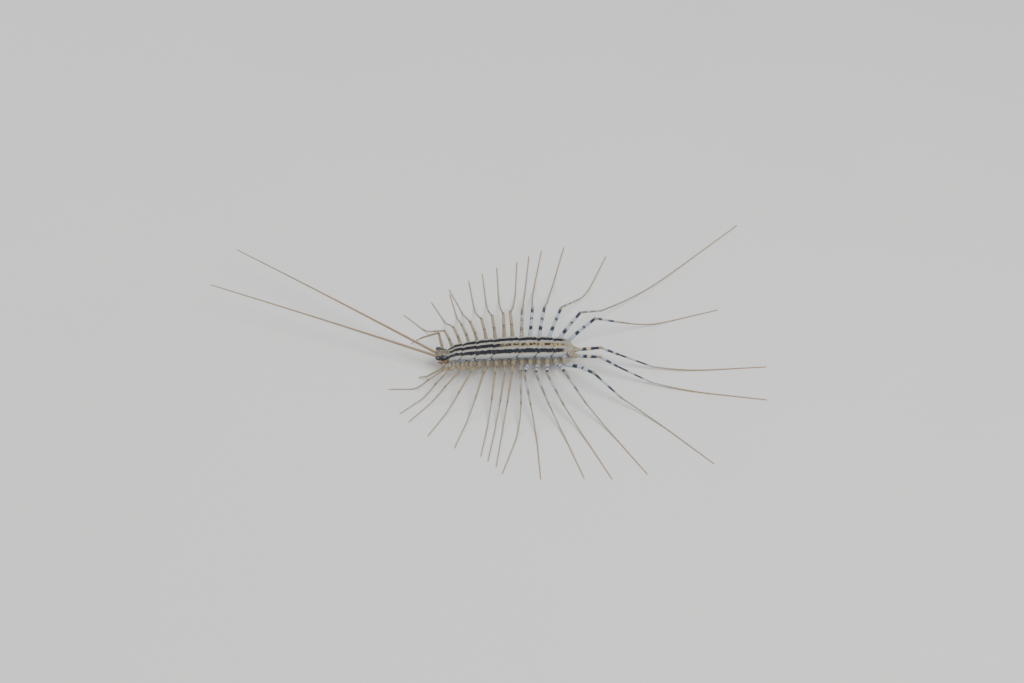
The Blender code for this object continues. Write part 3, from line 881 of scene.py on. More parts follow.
class CENTIPEDE_OT_skin(Operator):
    """Build the soft skin of the body, from the neck to the tail"""

    bl_idname = "centipede.skin"
    bl_label = "Skin"

    def execute(self, context):
        rings, columns = SKIN_GRID
        along = np.linspace(HEAD_REAR - 0.7, TAIL_END + 0.02, rings)[:, None]
        angle = (2 * pi * (np.arange(columns) + 0.5) / columns)[None, :]
        middle, width, above, below = skin_section(along)
        level, rise = np.cos(angle), np.sin(angle)
        level = np.sign(level) * np.abs(level) ** 0.9
        rise = np.sign(rise) * np.abs(rise) ** 0.9
        from_top = np.abs(np.angle(np.exp(1j * (angle - pi / 2)))) / pi
        phase = (along - FIRST_HIP) / HIP_SPACING
        segment = 0.5 + 0.5 * np.cos(2 * pi * phase)
        in_trunk = step_between(HEAD_REAR, HEAD_REAR + 0.6, along)
        in_trunk = in_trunk * step_between(TAIL_END - 1.1, TAIL_END - 1.5, along)
        hips = hump(from_top, 0.5 + HIP_ANGLE / pi, 0.10)
        swell = looks().skin.hip_swell / MM * hips * segment**2
        pleat = 0.05 * hump(from_top, 0.44, 0.05) * np.cos(4 * pi * phase + 0.8)
        flank = (0.24 + 0.14 * np.sqrt(segment)) * hump(from_top, 0.42, 0.10)
        crease = hump(segment, 0.0, 0.05) * hump(from_top, 0.45, 0.16)
        oblique = hump(from_top + 0.04 * np.cos(2 * pi * phase + 1.0), 0.47, 0.018)
        groove = 0.10 * hump(from_top, 0.80, 0.035) + 0.06 * hump(from_top, 1.0, 0.03) * segment
        wrinkle = 0.012 * np.sin(2 * pi * along / 0.19 + 2.5 * np.sin(7 * angle))
        wrinkle = wrinkle * hump(from_top, 0.5, 0.16)
        pinch = 0.07 * (1 - segment) + 0.04 * hump(segment, 0.0, 0.12)
        factor = 1 - pinch * in_trunk
        extra = swell + pleat + flank - groove + wrinkle - 0.12 * crease - 0.06 * oblique
        extra = extra * in_trunk
        out = (width * factor + extra) * level
        height = middle + (np.where(rise > 0, above, below) * factor + extra) * rise
        points = on_body(along + 0 * out, out, height).reshape(-1, 3)
        # Painted shade: how much shade is painted in the folds, creases and grooves, less on the
        # hip swells.
        fold_shade = np.clip(0.9 * crease + 0.7 * oblique + 4 * groove - 3 * swell, 0, 1) * in_trunk
        places = np.stack(np.broadcast_arrays(from_top, fold_shade, along), axis=-1).reshape(-1, 3)
        skin = finish_named("flank_skin", skin_finish)
        obj = make_mesh("body_skin", points, tube_faces(rings, columns), skin, places, REARWARD)
        settle(obj, "soft_skin", "trunk", "tail")
        return {"FINISHED"}


def plate_height(along, share):
    """Underside of a plate, share of its half width from the middle."""
    above, _ = trunk_heights(along)
    return TRUNK_MIDDLE_Z + above + GAP - PLATE_ARCH * share * share * body_scale(along)


def plate_mesh(number):
    """A thin arched plate, whose rear lies over the front of the next one like a tile."""
    look = looks().plates
    start = PLATE_ENDS[number] + GAP
    end = PLATE_ENDS[number + 1]
    length = end - start
    last = number == len(PLATE_ENDS) - 2
    overlap = 0.0 if last else PLATE_OVERLAP
    columns = PLATE_COLUMNS
    rows = int(round((length + PLATE_TUCK) * PLATE_ROWS))
    share = (2 * np.arange(columns + 1) / columns - 1)[None, :]
    share = np.sign(share) * (1 - (1 - np.abs(share)) ** 1.25)
    down = np.linspace(-PLATE_TUCK / length, 1.0, rows + 1)[:, None]
    edge = np.abs(share)
    if last:
        corner = LAST_CORNER_ROUND * edge**LAST_CORNER_POWER
    else:
        corner = CORNER_ROUND * edge**CORNER_POWER
    rear = end + overlap - corner - (1 - last) * REAR_NOTCH * np.maximum(0.0, 1 - 3 * edge)
    front = start + FRONT_ROUND * edge**FRONT_CORNER_POWER
    along = front + (rear - front) * down
    width = PLATE_HALF_WIDTH * body_scale(start + length * np.clip(down, 0, 1))
    out = share * width * (1 + 0.03 * np.sin(pi * np.clip(down, 0, 1)))
    from_rear = (1 - down) * (length + overlap)
    from_front = down * length
    from_side = (1 - edge) * width
    rim = np.minimum(1.0, np.minimum(from_side / SIDE_ROUNDING, from_rear / REAR_ROUNDING))
    rim = np.sqrt(np.clip(1 - (1 - rim) ** 2, 0, 1))
    under = step_between(-0.1, -0.4, from_front)
    dip = 0.2 * step_between(0.8, 0.0, from_front)
    thick = blend(0.1, PLATE_THICKNESS - dip, rim) * (1 - 0.5 * under)
    nearest = np.minimum(from_side, from_rear)
    bead = look.bead / MM * hump(nearest, 0.24, 0.09)
    saddle = look.saddle / MM * hump(out, 0.0, 0.34) * hump(from_rear, 0.55, 0.34)
    slit = 0.12 * hump(out, 0.0, 0.06) * hump(from_rear, 0.42, 0.2)
    keel = 0.03 * hump(edge, 0.34, 0.07) + 0.03 * hump(edge, 0.86, 0.06)
    ripple = 0.012 * np.sin(9 * along + 4 * share) * np.sin(5 * out + 1.3 * number)
    lip = 0.28 * step_between(0.5, 0.0, from_rear) * (1 - last)
    slope = 0.4 * step_between(0.0, 1.0, down) * last
    slope = slope + 0.2 * step_between(1.0, 0.0, from_front) * (number == 0)
    base = plate_height(along, share) - slope - 0.1 * under
    thin = blend(thick, PLATE_THICKNESS + 0.04 - lip, step_between(0.5, 0.2, from_rear))
    thick = np.maximum(np.minimum(thick, thin), 0.08)
    base = base + lip
    top = base + thick + (bead + saddle - slit + keel + ripple) * rim * (1 - under)
    points = np.stack([on_body(along, out, top), on_body(along, out, base)])
    places = np.stack(np.broadcast_arrays(share, from_rear, along), axis=-1)
    places = np.stack([places, places]).reshape(-1, 3)
    layer = (rows + 1) * (columns + 1)
    faces = []
    for row in range(rows):
        for column in range(columns):
            corner = row * (columns + 1) + column
            below = corner + columns + 1
            quad = (corner, corner + 1, below + 1, below)
            faces.append(quad)
            faces.append(tuple(layer + index for index in reversed(quad)))
    rim_line = list(range(columns))
    rim_line += [row * (columns + 1) + columns for row in range(rows)]
    rim_line += [rows * (columns + 1) + column for column in range(columns, 0, -1)]
    rim_line += [row * (columns + 1) for row in range(rows, 0, -1)]
    for index, corner in enumerate(rim_line):
        after = rim_line[(index + 1) % len(rim_line)]
        faces.append((corner, layer + corner, layer + after, after))
    return points.reshape(-1, 3), faces, places


class CENTIPEDE_OT_plates(Operator):
    """Build the eight striped plates of the back"""

    bl_idname = "centipede.plates"
    bl_label = "Back plates"

    def execute(self, context):
        material = finish_named("plate_cuticle", plate_finish)
        for number in range(len(PLATE_ENDS) - 1):
            points, faces, places = plate_mesh(number)
            name = f"striped_plate_{number + 1}"
            obj = make_mesh(name, points, faces, material, places, REARWARD)
            settle(obj, "plate", f"back_plate_{number + 1}")
        return {"FINISHED"}


def egg(centre, radii):
    """Points and faces of an ellipsoid in millimetres."""
    columns, rows = EGG_GRID
    lift = pi * np.arange(1, rows) / rows
    turn = 2 * pi * np.arange(columns) / columns
    lift, turn = np.meshgrid(lift, turn, indexing="ij")
    shell = np.stack([np.sin(lift) * np.cos(turn), np.sin(lift) * np.sin(turn), np.cos(lift)], -1)
    points = np.vstack([[(0, 0, 1)], shell.reshape(-1, 3), [(0, 0, -1)]])
    points = points * np.asarray(radii) + np.asarray(centre)
    foot = len(points) - 1
    faces = []
    for column in range(columns):
        after = (column + 1) % columns
        faces.append((0, 1 + column, 1 + after))
        for row in range(rows - 2):
            near, far = 1 + row * columns, 1 + (row + 1) * columns
            faces.append((near + column, far + column, far + after, near + after))
        near = 1 + (rows - 2) * columns
        faces.append((near + column, foot, near + after))
    return points, faces


def melted(name, shapes, grain, smoothing):
    """Melts overlapping closed shapes into one skin, and gives its points and faces."""
    points = np.vstack([shape[0] for shape in shapes])
    faces = []
    first = 0
    for shape_points, shape_faces in shapes:
        faces += [tuple(index + first for index in face) for face in shape_faces]
        first += len(shape_points)
    mesh = bpy.data.meshes.new(name)
    mesh.from_pydata(points.tolist(), [], faces)
    obj = add_object(name, mesh)
    remesh = obj.modifiers.new("Melt", "REMESH")
    remesh.mode = "VOXEL"
    remesh.voxel_size = grain
    smooth = obj.modifiers.new("Smooth", "SMOOTH")
    smooth.iterations = smoothing
    smooth.factor = 0.6
    obj = plain_mesh(obj)
    found = np.array([vertex.co for vertex in obj.data.vertices])
    normals = np.array([vertex.normal for vertex in obj.data.vertices])
    skin_faces = [tuple(face.vertices) for face in obj.data.polygons]
    old = obj.data
    bpy.data.objects.remove(obj, do_unlink=True)
    bpy.data.meshes.remove(old)
    return found, normals, skin_faces


def head_shapes():
    """The rounded lumps that the head is melted from, each with its middle and radii."""
    middle = HEAD_REAR - HEAD_LENGTH + (HEAD_LENGTH + HEAD_OVERHANG) / 2
    lumps = [
        ((middle + 0.05, 0.0, HEAD_Z), (1.55, 0.94 * HEAD_HALF_WIDTH, 0.92 * HEAD_HALF_HEIGHT)),
        ((HEAD_REAR - 0.4, 0.0, HEAD_Z + 0.05), (0.85, 1.22, 0.80)),
        ((middle - 1.0, 0.0, HEAD_Z + 0.05), (0.66, 0.88, 0.62)),
        ((middle - 1.1, 0.0, HEAD_Z - 0.4), (0.50, 0.62, 0.46)),
        ((middle - 1.25, 0.0, HEAD_Z - 0.62), (0.32, 0.42, 0.26)),
    ]
    along, out, height = EYE_PLACE
    for side, _ in SIDES:
        lumps.append(((middle + 0.25, 0.80 * side, HEAD_Z - 0.45), (0.80, 0.60, 0.58)))
        lumps.append(((middle - 0.55, 0.50 * side, HEAD_Z - 0.68), (0.62, 0.36, 0.42)))
        lumps.append(((along + 0.12, (out - 0.16) * side, height - 0.24), (0.62, 0.44, 0.50)))
        lumps.append(((along + 1.0, (out - 0.12) * side, height - 0.42), (0.75, 0.40, 0.50)))
    shapes = [egg(on_body(*middle), radii) for middle, radii in lumps]
    along, out, height = SOCKET_PLACE
    for side, _ in SIDES:
        line = on_body(
            np.array((along + 0.35, along + 0.1, along - 0.02)), side * out,
            np.array((height - 0.12, height - 0.03, height)),
        )
        points, _, faces = tube(line, (0.46, 0.44, 0.34), 16)
        shapes.append((points, faces))
    return shapes


class CENTIPEDE_OT_head(Operator):
    """Build the head's shield with its cheeks, sutures and feeler sockets"""

    bl_idname = "centipede.head"
    bl_label = "Head"

    def execute(self, context):
        points, normals, faces = melted("head_shape", head_shapes(), looks().head.grain / MM, 5)
        along = points[:, 0] - BODY_X
        out = points[:, 1] - on_body(along)[:, 1]
        up = points[:, 2] - HEAD_Z
        top = step_between(0.1, 0.5, up)
        suture = hump(out, 0.0, 0.045) * step_between(SUTURE_START, SUTURE_START + 0.2, along)
        fork = hump(np.abs(out) - 0.62 * (FORK_PLACE - along), 0.0, 0.05)
        fork = fork * step_between(FORK_PLACE + 0.05, FORK_PLACE - 0.15, along)
        collar = hump(along, COLLAR_PLACE - 0.12 * out * out, 0.06)
        sunk = 0.045 * top * np.clip(suture + fork, 0, 1) + 0.05 * collar
        points = points - normals * sunk[:, None]
        down = (HEAD_REAR - along) / HEAD_LENGTH
        places = np.stack([out / HEAD_HALF_WIDTH, down, up / HEAD_HALF_HEIGHT], axis=-1)
        material = finish_named("head_cuticle", head_finish)
        obj = make_mesh("head_shield", points, faces, material, places, (-1.0, 0.0, -0.2))
        settle(obj, "head", "head")
        return {"FINISHED"}


class Tree:
    """A Geometry Nodes tree built from named inputs, and its use on an object."""

    def __init__(self, name, inputs):
        self.tree = bpy.data.node_groups.new(name, "GeometryNodeTree")
        sockets = [("Geometry", "INPUT", "Geometry"), ("Geometry", "OUTPUT", "Geometry")]
        sockets += [(label, "INPUT", kind) for label, kind in inputs.items()]
        for label, way, kind in sockets:
            self.tree.interface.new_socket(label, in_out=way, socket_type=f"NodeSocket{kind}")
        self.given = self.tree.nodes.new("NodeGroupInput").outputs
        self.result = self.tree.nodes.new("NodeGroupOutput").inputs

    def add(self, kind, settings=None, sockets=None):
        """Adds a node with its settings, then the values of its sockets or what they link to."""
        made = self.tree.nodes.new(kind if "Node" in kind else "GeometryNode" + kind)
        for name, value in (settings or {}).items():
            setattr(made, name, value)
        for name, value in (sockets or {}).items():
            if isinstance(value, bpy.types.Node):
                value = value.outputs[0]
            if isinstance(value, bpy.types.NodeSocket):
                self.tree.links.new(value, made.inputs[name])
            else:
                made.inputs[name].default_value = value
        return made

    def maths(self, operation, a, b):
        return self.add("ShaderNodeMath", {"operation": operation}, {0: a, 1: b}).outputs[0]

    def end(self, geometry, material):
        """Realises what was made and gives it its material."""
        real = self.add("RealizeInstances", None, {0: geometry})
        done = self.add("SetMaterial", None, {0: real, "Material": material})
        self.tree.links.new(done.outputs[0], self.result[0])

    def grow(self, obj, values):
        """Runs the tree on an object, and gives the plain mesh object that it makes."""
        modifier = obj.modifiers.new(self.tree.name, "NODES")
        modifier.node_group = self.tree
        for item in self.tree.interface.items_tree:
            if item.in_out == "INPUT" and item.name in values:
                modifier[item.identifier] = values[item.name]
        return plain_mesh(obj)


def facet_tree():
    """An eye of raised six-sided facets on an egg of the given size and middle."""
    tree = Tree("Eye facets", {"Size": "Vector", "Middle": "Vector", "Material": "Material"})
    ball = tree.add("MeshIcoSphere", None, {"Radius": 1.0, "Subdivisions": 4})
    cells = tree.add("DualMesh", None, {0: ball})
    raised = tree.add("ExtrudeMesh", {"mode": "FACES"}, {
        "Mesh": cells, "Offset Scale": 0.045, "Individual": True,
    })
    shrunk = tree.add("ScaleElements", {"domain": "FACE"}, {
        "Geometry": raised.outputs["Mesh"], "Selection": raised.outputs["Top"], "Scale": 0.62,
    })
    smooth = tree.add("SetShadeSmooth", None, {0: shrunk})
    placed = tree.add("Transform", None, {
        "Geometry": smooth, "Translation": tree.given["Middle"], "Scale": tree.given["Size"],
    })
    tree.end(placed, tree.given["Material"])
    return tree


class CENTIPEDE_OT_eyes(Operator):
    """Build the two faceted eyes"""

    bl_idname = "centipede.eyes"
    bl_label = "Eyes"

    def execute(self, context):
        tree = facet_tree()
        material = finish_named("eye_lens", eye_finish)
        along, out, height = EYE_PLACE
        size = [0.97 * radius * MM for radius in EYE_SIZE]
        for side, word in SIDES:
            middle = on_body(along, side * out, height) * MM
            values = {"Size": size, "Middle": middle.tolist(), "Material": material}
            name = f"faceted_eye_{word}"
            obj = tree.grow(add_object(name, bpy.data.meshes.new(name)), values)
            settle(obj, "eye", f"eye_{word}")
        return {"FINISHED"}


def feeler_tree():
    """A tube of many rings round a curve, thinner towards its end."""
    tree = Tree("Ringed feeler", {
        "Rings": "Int", "Thick": "Float", "Thin": "Float", "Material": "Material",
    })
    count = tree.maths("MULTIPLY", tree.given["Rings"], 4.0)
    line = tree.add("ResampleCurve", None, {"Curve": tree.given[0], "Count": count})
    share = tree.add("SplineParameter").outputs["Factor"]
    index = tree.add("InputIndex").outputs[0]
    step = tree.maths("MODULO", index, 4.0)
    groove = tree.maths("LESS_THAN", step, 0.5)
    swell = tree.maths("SUBTRACT", 1.0, tree.maths("MULTIPLY", groove, 0.16))
    eased = tree.maths("POWER", share, ANTENNA_SLIMMING)
    slimmer = tree.maths("SUBTRACT", tree.given["Thin"], tree.given["Thick"])
    girth = tree.maths("ADD", tree.given["Thick"], tree.maths("MULTIPLY", eased, slimmer))
    radius = tree.maths("MULTIPLY", girth, swell)
    sized = tree.add("SetCurveRadius", None, {"Curve": line, "Radius": radius})
    vector = tree.add("ShaderNodeCombineXYZ", None, {0: share, 1: groove})
    stored = tree.add("StoreNamedAttribute", {"data_type": "FLOAT_VECTOR"}, {
        "Geometry": sized, "Name": PLACE, "Value": vector,
    })
    tangent = tree.add("InputTangent")
    lain = tree.add("StoreNamedAttribute", {"data_type": "FLOAT_VECTOR"}, {
        "Geometry": stored, "Name": LIE, "Value": tangent,
    })
    circle = tree.add("CurvePrimitiveCircle", None, {"Resolution": ANTENNA_SIDES, "Radius": 1.0})
    body = tree.add("CurveToMesh", None, {
        "Curve": lain, "Profile Curve": circle,
        "Scale": radius, "Fill Caps": True,
    })
    smooth = tree.add("SetShadeSmooth", None, {0: body})
    tree.end(smooth, tree.given["Material"])
    return tree


def feeler_route(side):
    """From its socket forwards, swung to the right of straight ahead, and rising evenly."""
    along, out, height = SOCKET_PLACE
    swing, lift = SWINGS[side]
    heading = np.array((-cos(swing), sin(swing), 0.0))
    across = np.array((heading[1], -heading[0], 0.0))
    root = on_body(along - GAP, side * out, height)
    places = [root]
    for share in ANTENNA_PLACES:
        sway = ANTENNA_SWAY * sin(pi * share)
        place = root + heading * ANTENNA_LENGTH * share + sway * across + (0, 0, lift * share)
        places.append(place)
    route = curve_through(places, 12)
    inner = on_body(along + 0.3, side * out, height - 0.1)
    return np.vstack([inner, route])


class CENTIPEDE_OT_feelers(Operator):
    """Build the two long ringed feelers"""

    bl_idname = "centipede.feelers"
    bl_label = "Feelers"

    def execute(self, context):
        look = looks().feelers
        tree = feeler_tree()
        material = finish_named("feeler_cuticle", feeler_finish)
        for side, word in SIDES:
            route = feeler_route(side) * MM
            curve = bpy.data.curves.new(f"ringed_feeler_{word}", "CURVE")
            curve.dimensions = "3D"
            spline = curve.splines.new("POLY")
            spline.points.add(len(route) - 1)
            for point, place in zip(spline.points, route):
                point.co = (*place, 1.0)
            values = {
                "Rings": look.rings, "Thick": look.thick, "Thin": look.thin, "Material": material,
            }
            obj = tree.grow(add_object(curve.name, curve), values)
            settle(obj, "feeler", f"antenna_{word}")
        return {"FINISHED"}


def joint_girth(share):
    """A limb length's girth: a thin neck at each joint and a collar before the next."""
    share = np.asarray(share, float)
    neck = 0.30 * hump(share, 0.0, 0.045) + 0.34 * hump(share, 1.0, 0.03)
    return 1 - neck + 0.10 * hump(share, 0.92, 0.04) + 0.05 * hump(share, 0.12, 0.06)


def ring_places(along, sides, lookups=(0.0, 0.0)):
    """The place attribute of rings of points: a number for each ring, and two for the limb."""
    along = np.repeat(along, sides)
    return np.stack([along, np.full_like(along, lookups[0]), np.full_like(along, lookups[1])], -1)


def add_length(gather, start, end, radii, place, lookups, sides, count):
    """One straight length of a limb, from joint to joint, as its own closed tube."""
    share = np.linspace(0, 1, count)
    share = 0.5 - 0.5 * np.cos(pi * share)
    line = start[None, :] + (end - start)[None, :] * share[:, None]
    girth = np.interp(share, np.linspace(0, 1, len(radii)), radii) * joint_girth(share)
    points, lies, faces = tube(line, girth, sides, 0.05)
    gather.add(points, ring_places(place + share, sides, lookups), lies, faces)


def add_spines(gather, joint, along, radius, length, place, lookups):
    """The ring of spines just before a joint."""
    along = along / np.linalg.norm(along)
    across = np.cross(along, (0, 0, 1))
    across /= np.linalg.norm(across)
    over = np.cross(across, along)
    root = joint - along * 0.16
    for index, angle in enumerate((0.5, 1.45, 2.4, 3.7, 5.2)):
        out = cos(angle) * across + sin(angle) * over
        reach = length * (0.7 if index % 2 else 1.0)
        start = root + out * radius * 0.7
        tip = start + reach * (0.82 * along + 0.55 * out)
        gather.spike(start, tip, 0.055, (place - 0.03, *lookups))


def leg_mesh(gather, number, side):
    look = looks().legs
    thick = look.tarsus_radius / MM
    leg = leg_line(number, side, thick)
    banding = float(step_between(7.5, 10.5, number) + step_between(12.5, 14.5, number))
    lookups = (banding, 1.0 if number == PAIRS else 0.0)
    root, turn_up = leg.joints[:2]
    inner = root - COXA_ROOT * (turn_up - root) / np.linalg.norm(turn_up - root)
    joints = (inner, *leg.joints[1:])
    for index, (radii, sides, count) in enumerate(LIMB_LENGTHS):
        radii = [leg.girth * radius for radius in radii]
        add_length(gather, joints[index], joints[index + 1], radii, index, lookups, sides, count)
    for index, spine in ((2, look.spine), (3, look.spine), (4, 0.8 * look.spine)):
        radius = leg.girth * LIMB_LENGTHS[index - 1][0][-1]
        along = joints[index] - joints[index - 1]
        add_spines(gather, joints[index], along, radius, spine / MM, index, lookups)
    add_tarsus(gather, leg.tarsus, thick, look.article / MM, lookups)


def add_tarsus(gather, points, thick, article, lookups):
    """The leg's last length: a chain of short rings that ends in a claw."""
    route = curve_through(points, 16)
    distance = np.concatenate([[0], np.cumsum(np.linalg.norm(np.diff(route, axis=0), axis=1))])
    count = int(round(distance[-1] / article)) * 3
    where = np.linspace(0, distance[-1], count + 1)
    line = np.stack([np.interp(where, distance, route[:, axis]) for axis in range(3)], axis=-1)
    share = where / distance[-1]
    base = thick * (1 - TARSUS_TAPER * share)
    swell = np.resize((0.82, 1.0, 1.1), count + 1)
    line[:, 2] = np.maximum(line[:, 2], base)
    tube_points, lies, faces = tube(line, base * swell, TARSUS_SIDES)
    gather.add(tube_points, ring_places(4 + share, TARSUS_SIDES, lookups), lies, faces)
    heading = line[-1] - line[-3]
    heading = heading / np.linalg.norm(heading)
    tip = line[-1] + heading * 0.3 - np.array((0, 0, 0.5 * base[-1]))
    gather.spike(line[-1] - heading * 0.05, tip, 0.7 * base[-1], (5.0, *lookups), bend=(0, 0, 0.03))


class CENTIPEDE_OT_legs(Operator):
    """Build the fifteen pairs of legs, banded towards the rear"""

    bl_idname = "centipede.legs"
    bl_label = "Legs"

    def execute(self, context):
        material = finish_named("leg_cuticle", leg_finish)
        for side, word in SIDES:
            for number in range(1, PAIRS + 1):
                gather = Gather()
                leg_mesh(gather, number, side)
                obj = gather.make(f"banded_leg_{word}_{number:02d}", material)
                settle(obj, "leg", f"leg_{word}_{number:02d}")
        return {"FINISHED"}


def palp_joints(side):
    """Root, shoulder, elbow, bend and tip of a long mouth feeler."""
    along, out, height = PALP_PLACE
    root = on_body(along, side * out, height)
    shoulder = root + np.array((0, side * 0.5, -0.1))
    return [root, shoulder, *(root + np.array(step) for step in PALP_BENDS[side])]


class CENTIPEDE_OT_mouth(Operator):
    """Build the long palps, the poison claws and the short mouth pads"""

    bl_idname = "centipede.mouth"
    bl_label = "Mouth parts"

    def execute(self, context):
        legs = finish_named("leg_cuticle", leg_finish)
        claws = finish_named("claw_cuticle", claw_finish)
        for side, word in SIDES:
            self.palp(side, word, legs)
            self.claw(side, word, claws)
            self.pad(side, word)
        return {"FINISHED"}

    def palp(self, side, word, material):
        root, shoulder, elbow, bend, tip = palp_joints(side)
        gather = Gather()
        inner = root + np.array((0.1, -side * 0.45, 0.35))
        plain = (0.0, 0.0)
        add_length(gather, inner, shoulder, (0.30, 0.32, 0.30), 0, plain, 12, 14)
        add_length(gather, shoulder, elbow, (0.29, 0.30, 0.27, 0.24), 1, plain, 12, 22)
        add_length(gather, elbow, bend, (0.24, 0.24, 0.21, 0.19), 3, plain, 12, 22)
        add_spines(gather, elbow, elbow - shoulder, 0.24, 0.45, 2, plain)
        line = curve_through([bend, blend(bend, tip, 0.5) + np.array((0, 0, 0.1)), tip], 8)
        radii = np.linspace(0.18, 0.09, len(line))
        points, lies, faces = tube(line, radii, 10)
        gather.add(points, ring_places(np.linspace(4, 5, len(line)), 10), lies, faces)
        settle(gather.make(f"mouth_palp_{word}", material), "leg", f"palp_{word}")

    def claw(self, side, word, material):
        """A thick curved claw that ends in a needle point."""
        along, out, height = CLAW_PLACE
        root = on_body(along, side * out, height)
        line = curve_through([root + np.array((x, side * y, z)) for x, y, z in CLAW_STEPS], 9)
        share = np.linspace(0, 1, len(line))
        girth = np.interp(share, *CLAW_GIRTHS)
        girth = girth * (1 - 0.22 * hump(share, 0.3, 0.02) - 0.16 * hump(share, 0.52, 0.015))
        gather = Gather()
        points, lies, faces = tube(line, girth, 16)
        gather.add(points, ring_places(share, 16), lies, faces)
        settle(gather.make(f"poison_claw_{word}", material), "fang", f"fang_{word}")

    def pad(self, side, word):
        """The short soft jaw pad between the claws."""
        material = finish_named("head_cuticle", head_finish)
        shapes = [
            egg(on_body(-13.75, side * 0.30, 3.05), (0.55, 0.24, 0.26)),
            egg(on_body(-14.25, side * 0.26, 2.98), (0.32, 0.20, 0.20)),
        ]
        points, _, faces = melted("pad_shape", shapes, looks().head.grain / MM, 3)
        place, lie = (0.0, 0.9, -0.8), (-1.0, 0.0, -0.4)
        settle(make_mesh(f"jaw_pad_{word}", points, faces, material, place, lie), "head")


def bristle_tree():
    """Short stiff hairs scattered over a surface, leaning the way the surface's lie points."""
    tree = Tree("Bristles", {
        "Density": "Float", "Length": "Float", "Radius": "Float", "Lean": "Float",
        "Material": "Material",
    })
    spots = tree.add("DistributePointsOnFaces", None, {
        "Mesh": tree.given[0], "Density": tree.given["Density"], "Seed": 7,
    })
    cone = tree.add("MeshCone", None, {
        "Vertices": 4, "Radius Top": 0.0, "Radius Bottom": 1.0, "Depth": 1.0,
    })
    sunk = tree.add("Transform", None, {
        "Geometry": cone, "Translation": (0.0, 0.0, -0.06),
    })
    lie = tree.add("InputNamedAttribute", {"data_type": "FLOAT_VECTOR"}, {"Name": LIE})
    leaned = tree.add("ShaderNodeVectorMath", {"operation": "SCALE"}, {
        0: lie.outputs["Attribute"], "Scale": tree.given["Lean"],
    })
    way = tree.add("ShaderNodeVectorMath", {"operation": "ADD"}, {
        0: leaned, 1: spots.outputs["Normal"],
    })
    turn = tree.add("FunctionNodeAlignRotationToVector", {"axis": "Z"}, {"Vector": way})
    chance = tree.add("FunctionNodeRandomValue", {"data_type": "FLOAT"}, {
        2: 0.5, 3: 1.3, "Seed": 3,
    })
    length = tree.maths("MULTIPLY", tree.given["Length"], chance.outputs[1])
    size = tree.add("ShaderNodeCombineXYZ", None, {
        0: tree.given["Radius"], 1: tree.given["Radius"], 2: length,
    })
    grown = tree.add("InstanceOnPoints", None, {
        "Points": spots.outputs["Points"], "Instance": sunk,
        "Rotation": turn, "Scale": size,
    })
    tree.end(grown, tree.given["Material"])
    return tree


def lift_to_floor(mesh):
    """Moves whatever hangs below the floor up to it."""
    places = np.empty(3 * len(mesh.vertices), np.float32)
    mesh.vertices.foreach_get("co", places)
    places[2::3] = np.maximum(places[2::3], 0.0)
    mesh.vertices.foreach_set("co", places)
    mesh.update()


def joined_copy(name, prefixes):
    """One temporary mesh object from every piece whose name starts with a prefix."""
    shape = bmesh.new()
    for obj in list(bpy.context.scene.objects):
        if obj.type == "MESH" and obj.name.startswith(prefixes):
            shape.from_mesh(obj.data)
    mesh = bpy.data.meshes.new(name)
    shape.to_mesh(mesh)
    shape.free()
    return add_object(name, mesh)


class CENTIPEDE_OT_bristles(Operator):
    """Grow short bristles on the legs, feelers, head and plates"""

    bl_idname = "centipede.bristles"
    bl_label = "Bristles"

    def execute(self, context):
        tree = bristle_tree()
        material = finish_named("bristle", bristle_finish)
        coats = (
            ("leg_bristles", ("banded_leg", "mouth_palp"), 2.4e6, 0.00030, 0.000014, 1.6, "leg"),
            ("feeler_bristles", ("ringed_feeler",), 9.0e6, 0.00016, 0.000009, 1.0, "feeler"),
            ("head_bristles", ("head_shield", "jaw_pad"), 5.0e6, 0.00016, 0.000009, 0.6, "head"),
            ("plate_bristles", ("striped_plate",), 1.6e6, 0.00012, 0.000009, 1.4, "plate"),
        )
        for name, prefixes, density, length, radius, lean, slot in coats:
            source = joined_copy(name, prefixes)
            values = {
                "Density": density, "Length": length, "Radius": radius, "Lean": lean,
                "Material": material,
            }
            coat = tree.grow(source, values)
            lift_to_floor(coat.data)
            settle(coat, slot)
        return {"FINISHED"}


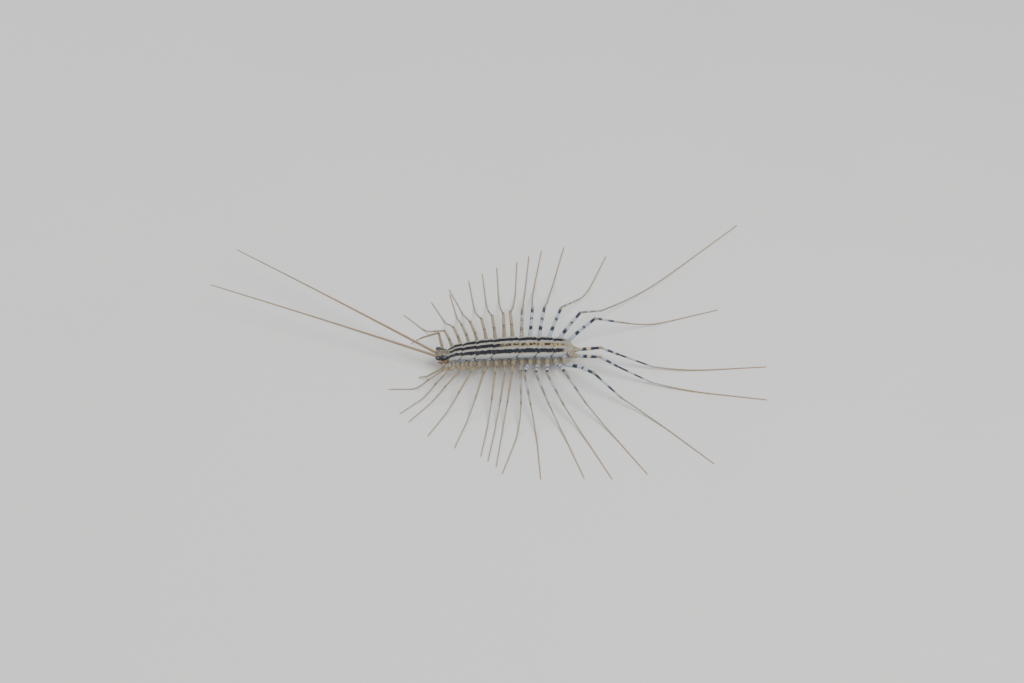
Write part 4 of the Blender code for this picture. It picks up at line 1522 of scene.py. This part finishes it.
class CENTIPEDE_OT_stage(Operator):
    """Set up the pale floor, the soft lamps and the camera"""

    bl_idname = "centipede.stage"
    bl_label = "Stage"

    def execute(self, context):
        look = looks().stage
        mesh = bpy.data.meshes.new("studio_floor")
        reach = 3.0
        corners = [(-reach, -reach, 0), (reach, -reach, 0), (reach, reach, 0), (-reach, reach, 0)]
        mesh.from_pydata(corners, [], [(0, 1, 2, 3)])
        mesh.materials.append(floor_finish())
        add_object("studio_floor", mesh)
        self.world(look)
        self.lamps(look)
        self.camera(context, look)
        return {"FINISHED"}

    def world(self, look):
        world = bpy.data.worlds.new("studio")
        world.use_nodes = True
        background = world.node_tree.nodes["Background"]
        background.inputs["Color"].default_value = (0.93, 0.96, 1.0, 1.0)
        background.inputs["Strength"].default_value = 0.55 * look.light
        bpy.context.scene.world = world

    def lamps(self, look):
        lamps = (
            ("key", (0.18, -0.16, 0.50), 0.30, 2.6),
            ("fill", (-0.34, 0.16, 0.32), 0.34, 0.8),
        )
        for name, place, size, power in lamps:
            data = bpy.data.lights.new(name, "AREA")
            data.shape = "DISK"
            data.size = size
            data.energy = power * look.light
            lamp = add_object(name, data)
            lamp.location = place
            along, across, up = place
            lamp.rotation_euler = (0.0, atan2(hypot(along, across), up), atan2(across, along))

    def camera(self, context, look):
        data = bpy.data.cameras.new("camera")
        data.lens = look.lens
        data.sensor_width = 36.0
        data.clip_start = 0.01
        data.clip_end = 20.0
        camera = add_object("camera", data)
        camera.location = (BODY_X * MM, BODY_Y * MM - look.camera_back, look.camera_height)
        camera.rotation_euler = (look.camera_tilt, 0.0, 0.0)
        context.scene.camera = camera


class CentipedeLooks(PropertyGroup):
    """All the sizes and colours of the model."""

    plates: PointerProperty(type=PlateLooks)
    skin: PointerProperty(type=SkinLooks)
    legs: PointerProperty(type=LegLooks)
    feelers: PointerProperty(type=FeelerLooks)
    head: PointerProperty(type=HeadLooks)
    stage: PointerProperty(type=StageLooks)


STEPS = (
    CENTIPEDE_OT_skin,
    CENTIPEDE_OT_plates,
    CENTIPEDE_OT_head,
    CENTIPEDE_OT_eyes,
    CENTIPEDE_OT_mouth,
    CENTIPEDE_OT_legs,
    CENTIPEDE_OT_feelers,
    CENTIPEDE_OT_bristles,
    CENTIPEDE_OT_stage,
)


class CENTIPEDE_PT_panel(Panel):
    """Lists the steps that build the model"""

    bl_idname = "CENTIPEDE_PT_panel"
    bl_label = "House centipede"
    bl_space_type = "VIEW_3D"
    bl_region_type = "UI"
    bl_category = "Centipede"

    def draw(self, context):
        for step in STEPS:
            self.layout.operator(step.bl_idname)


CLASSES = (
    PlateLooks, SkinLooks, LegLooks, FeelerLooks, HeadLooks, StageLooks, CentipedeLooks,
    *STEPS, CENTIPEDE_PT_panel,
)


def register():
    for cls in CLASSES:
        bpy.utils.register_class(cls)
    bpy.types.Scene.centipede = PointerProperty(type=CentipedeLooks)


def unregister():
    del bpy.types.Scene.centipede
    for cls in reversed(CLASSES):
        bpy.utils.unregister_class(cls)


def main():
    register()
    for step in STEPS:
        group, name = step.bl_idname.split(".")
        getattr(getattr(bpy.ops, group), name)()


if __name__ == "__main__":
    main()
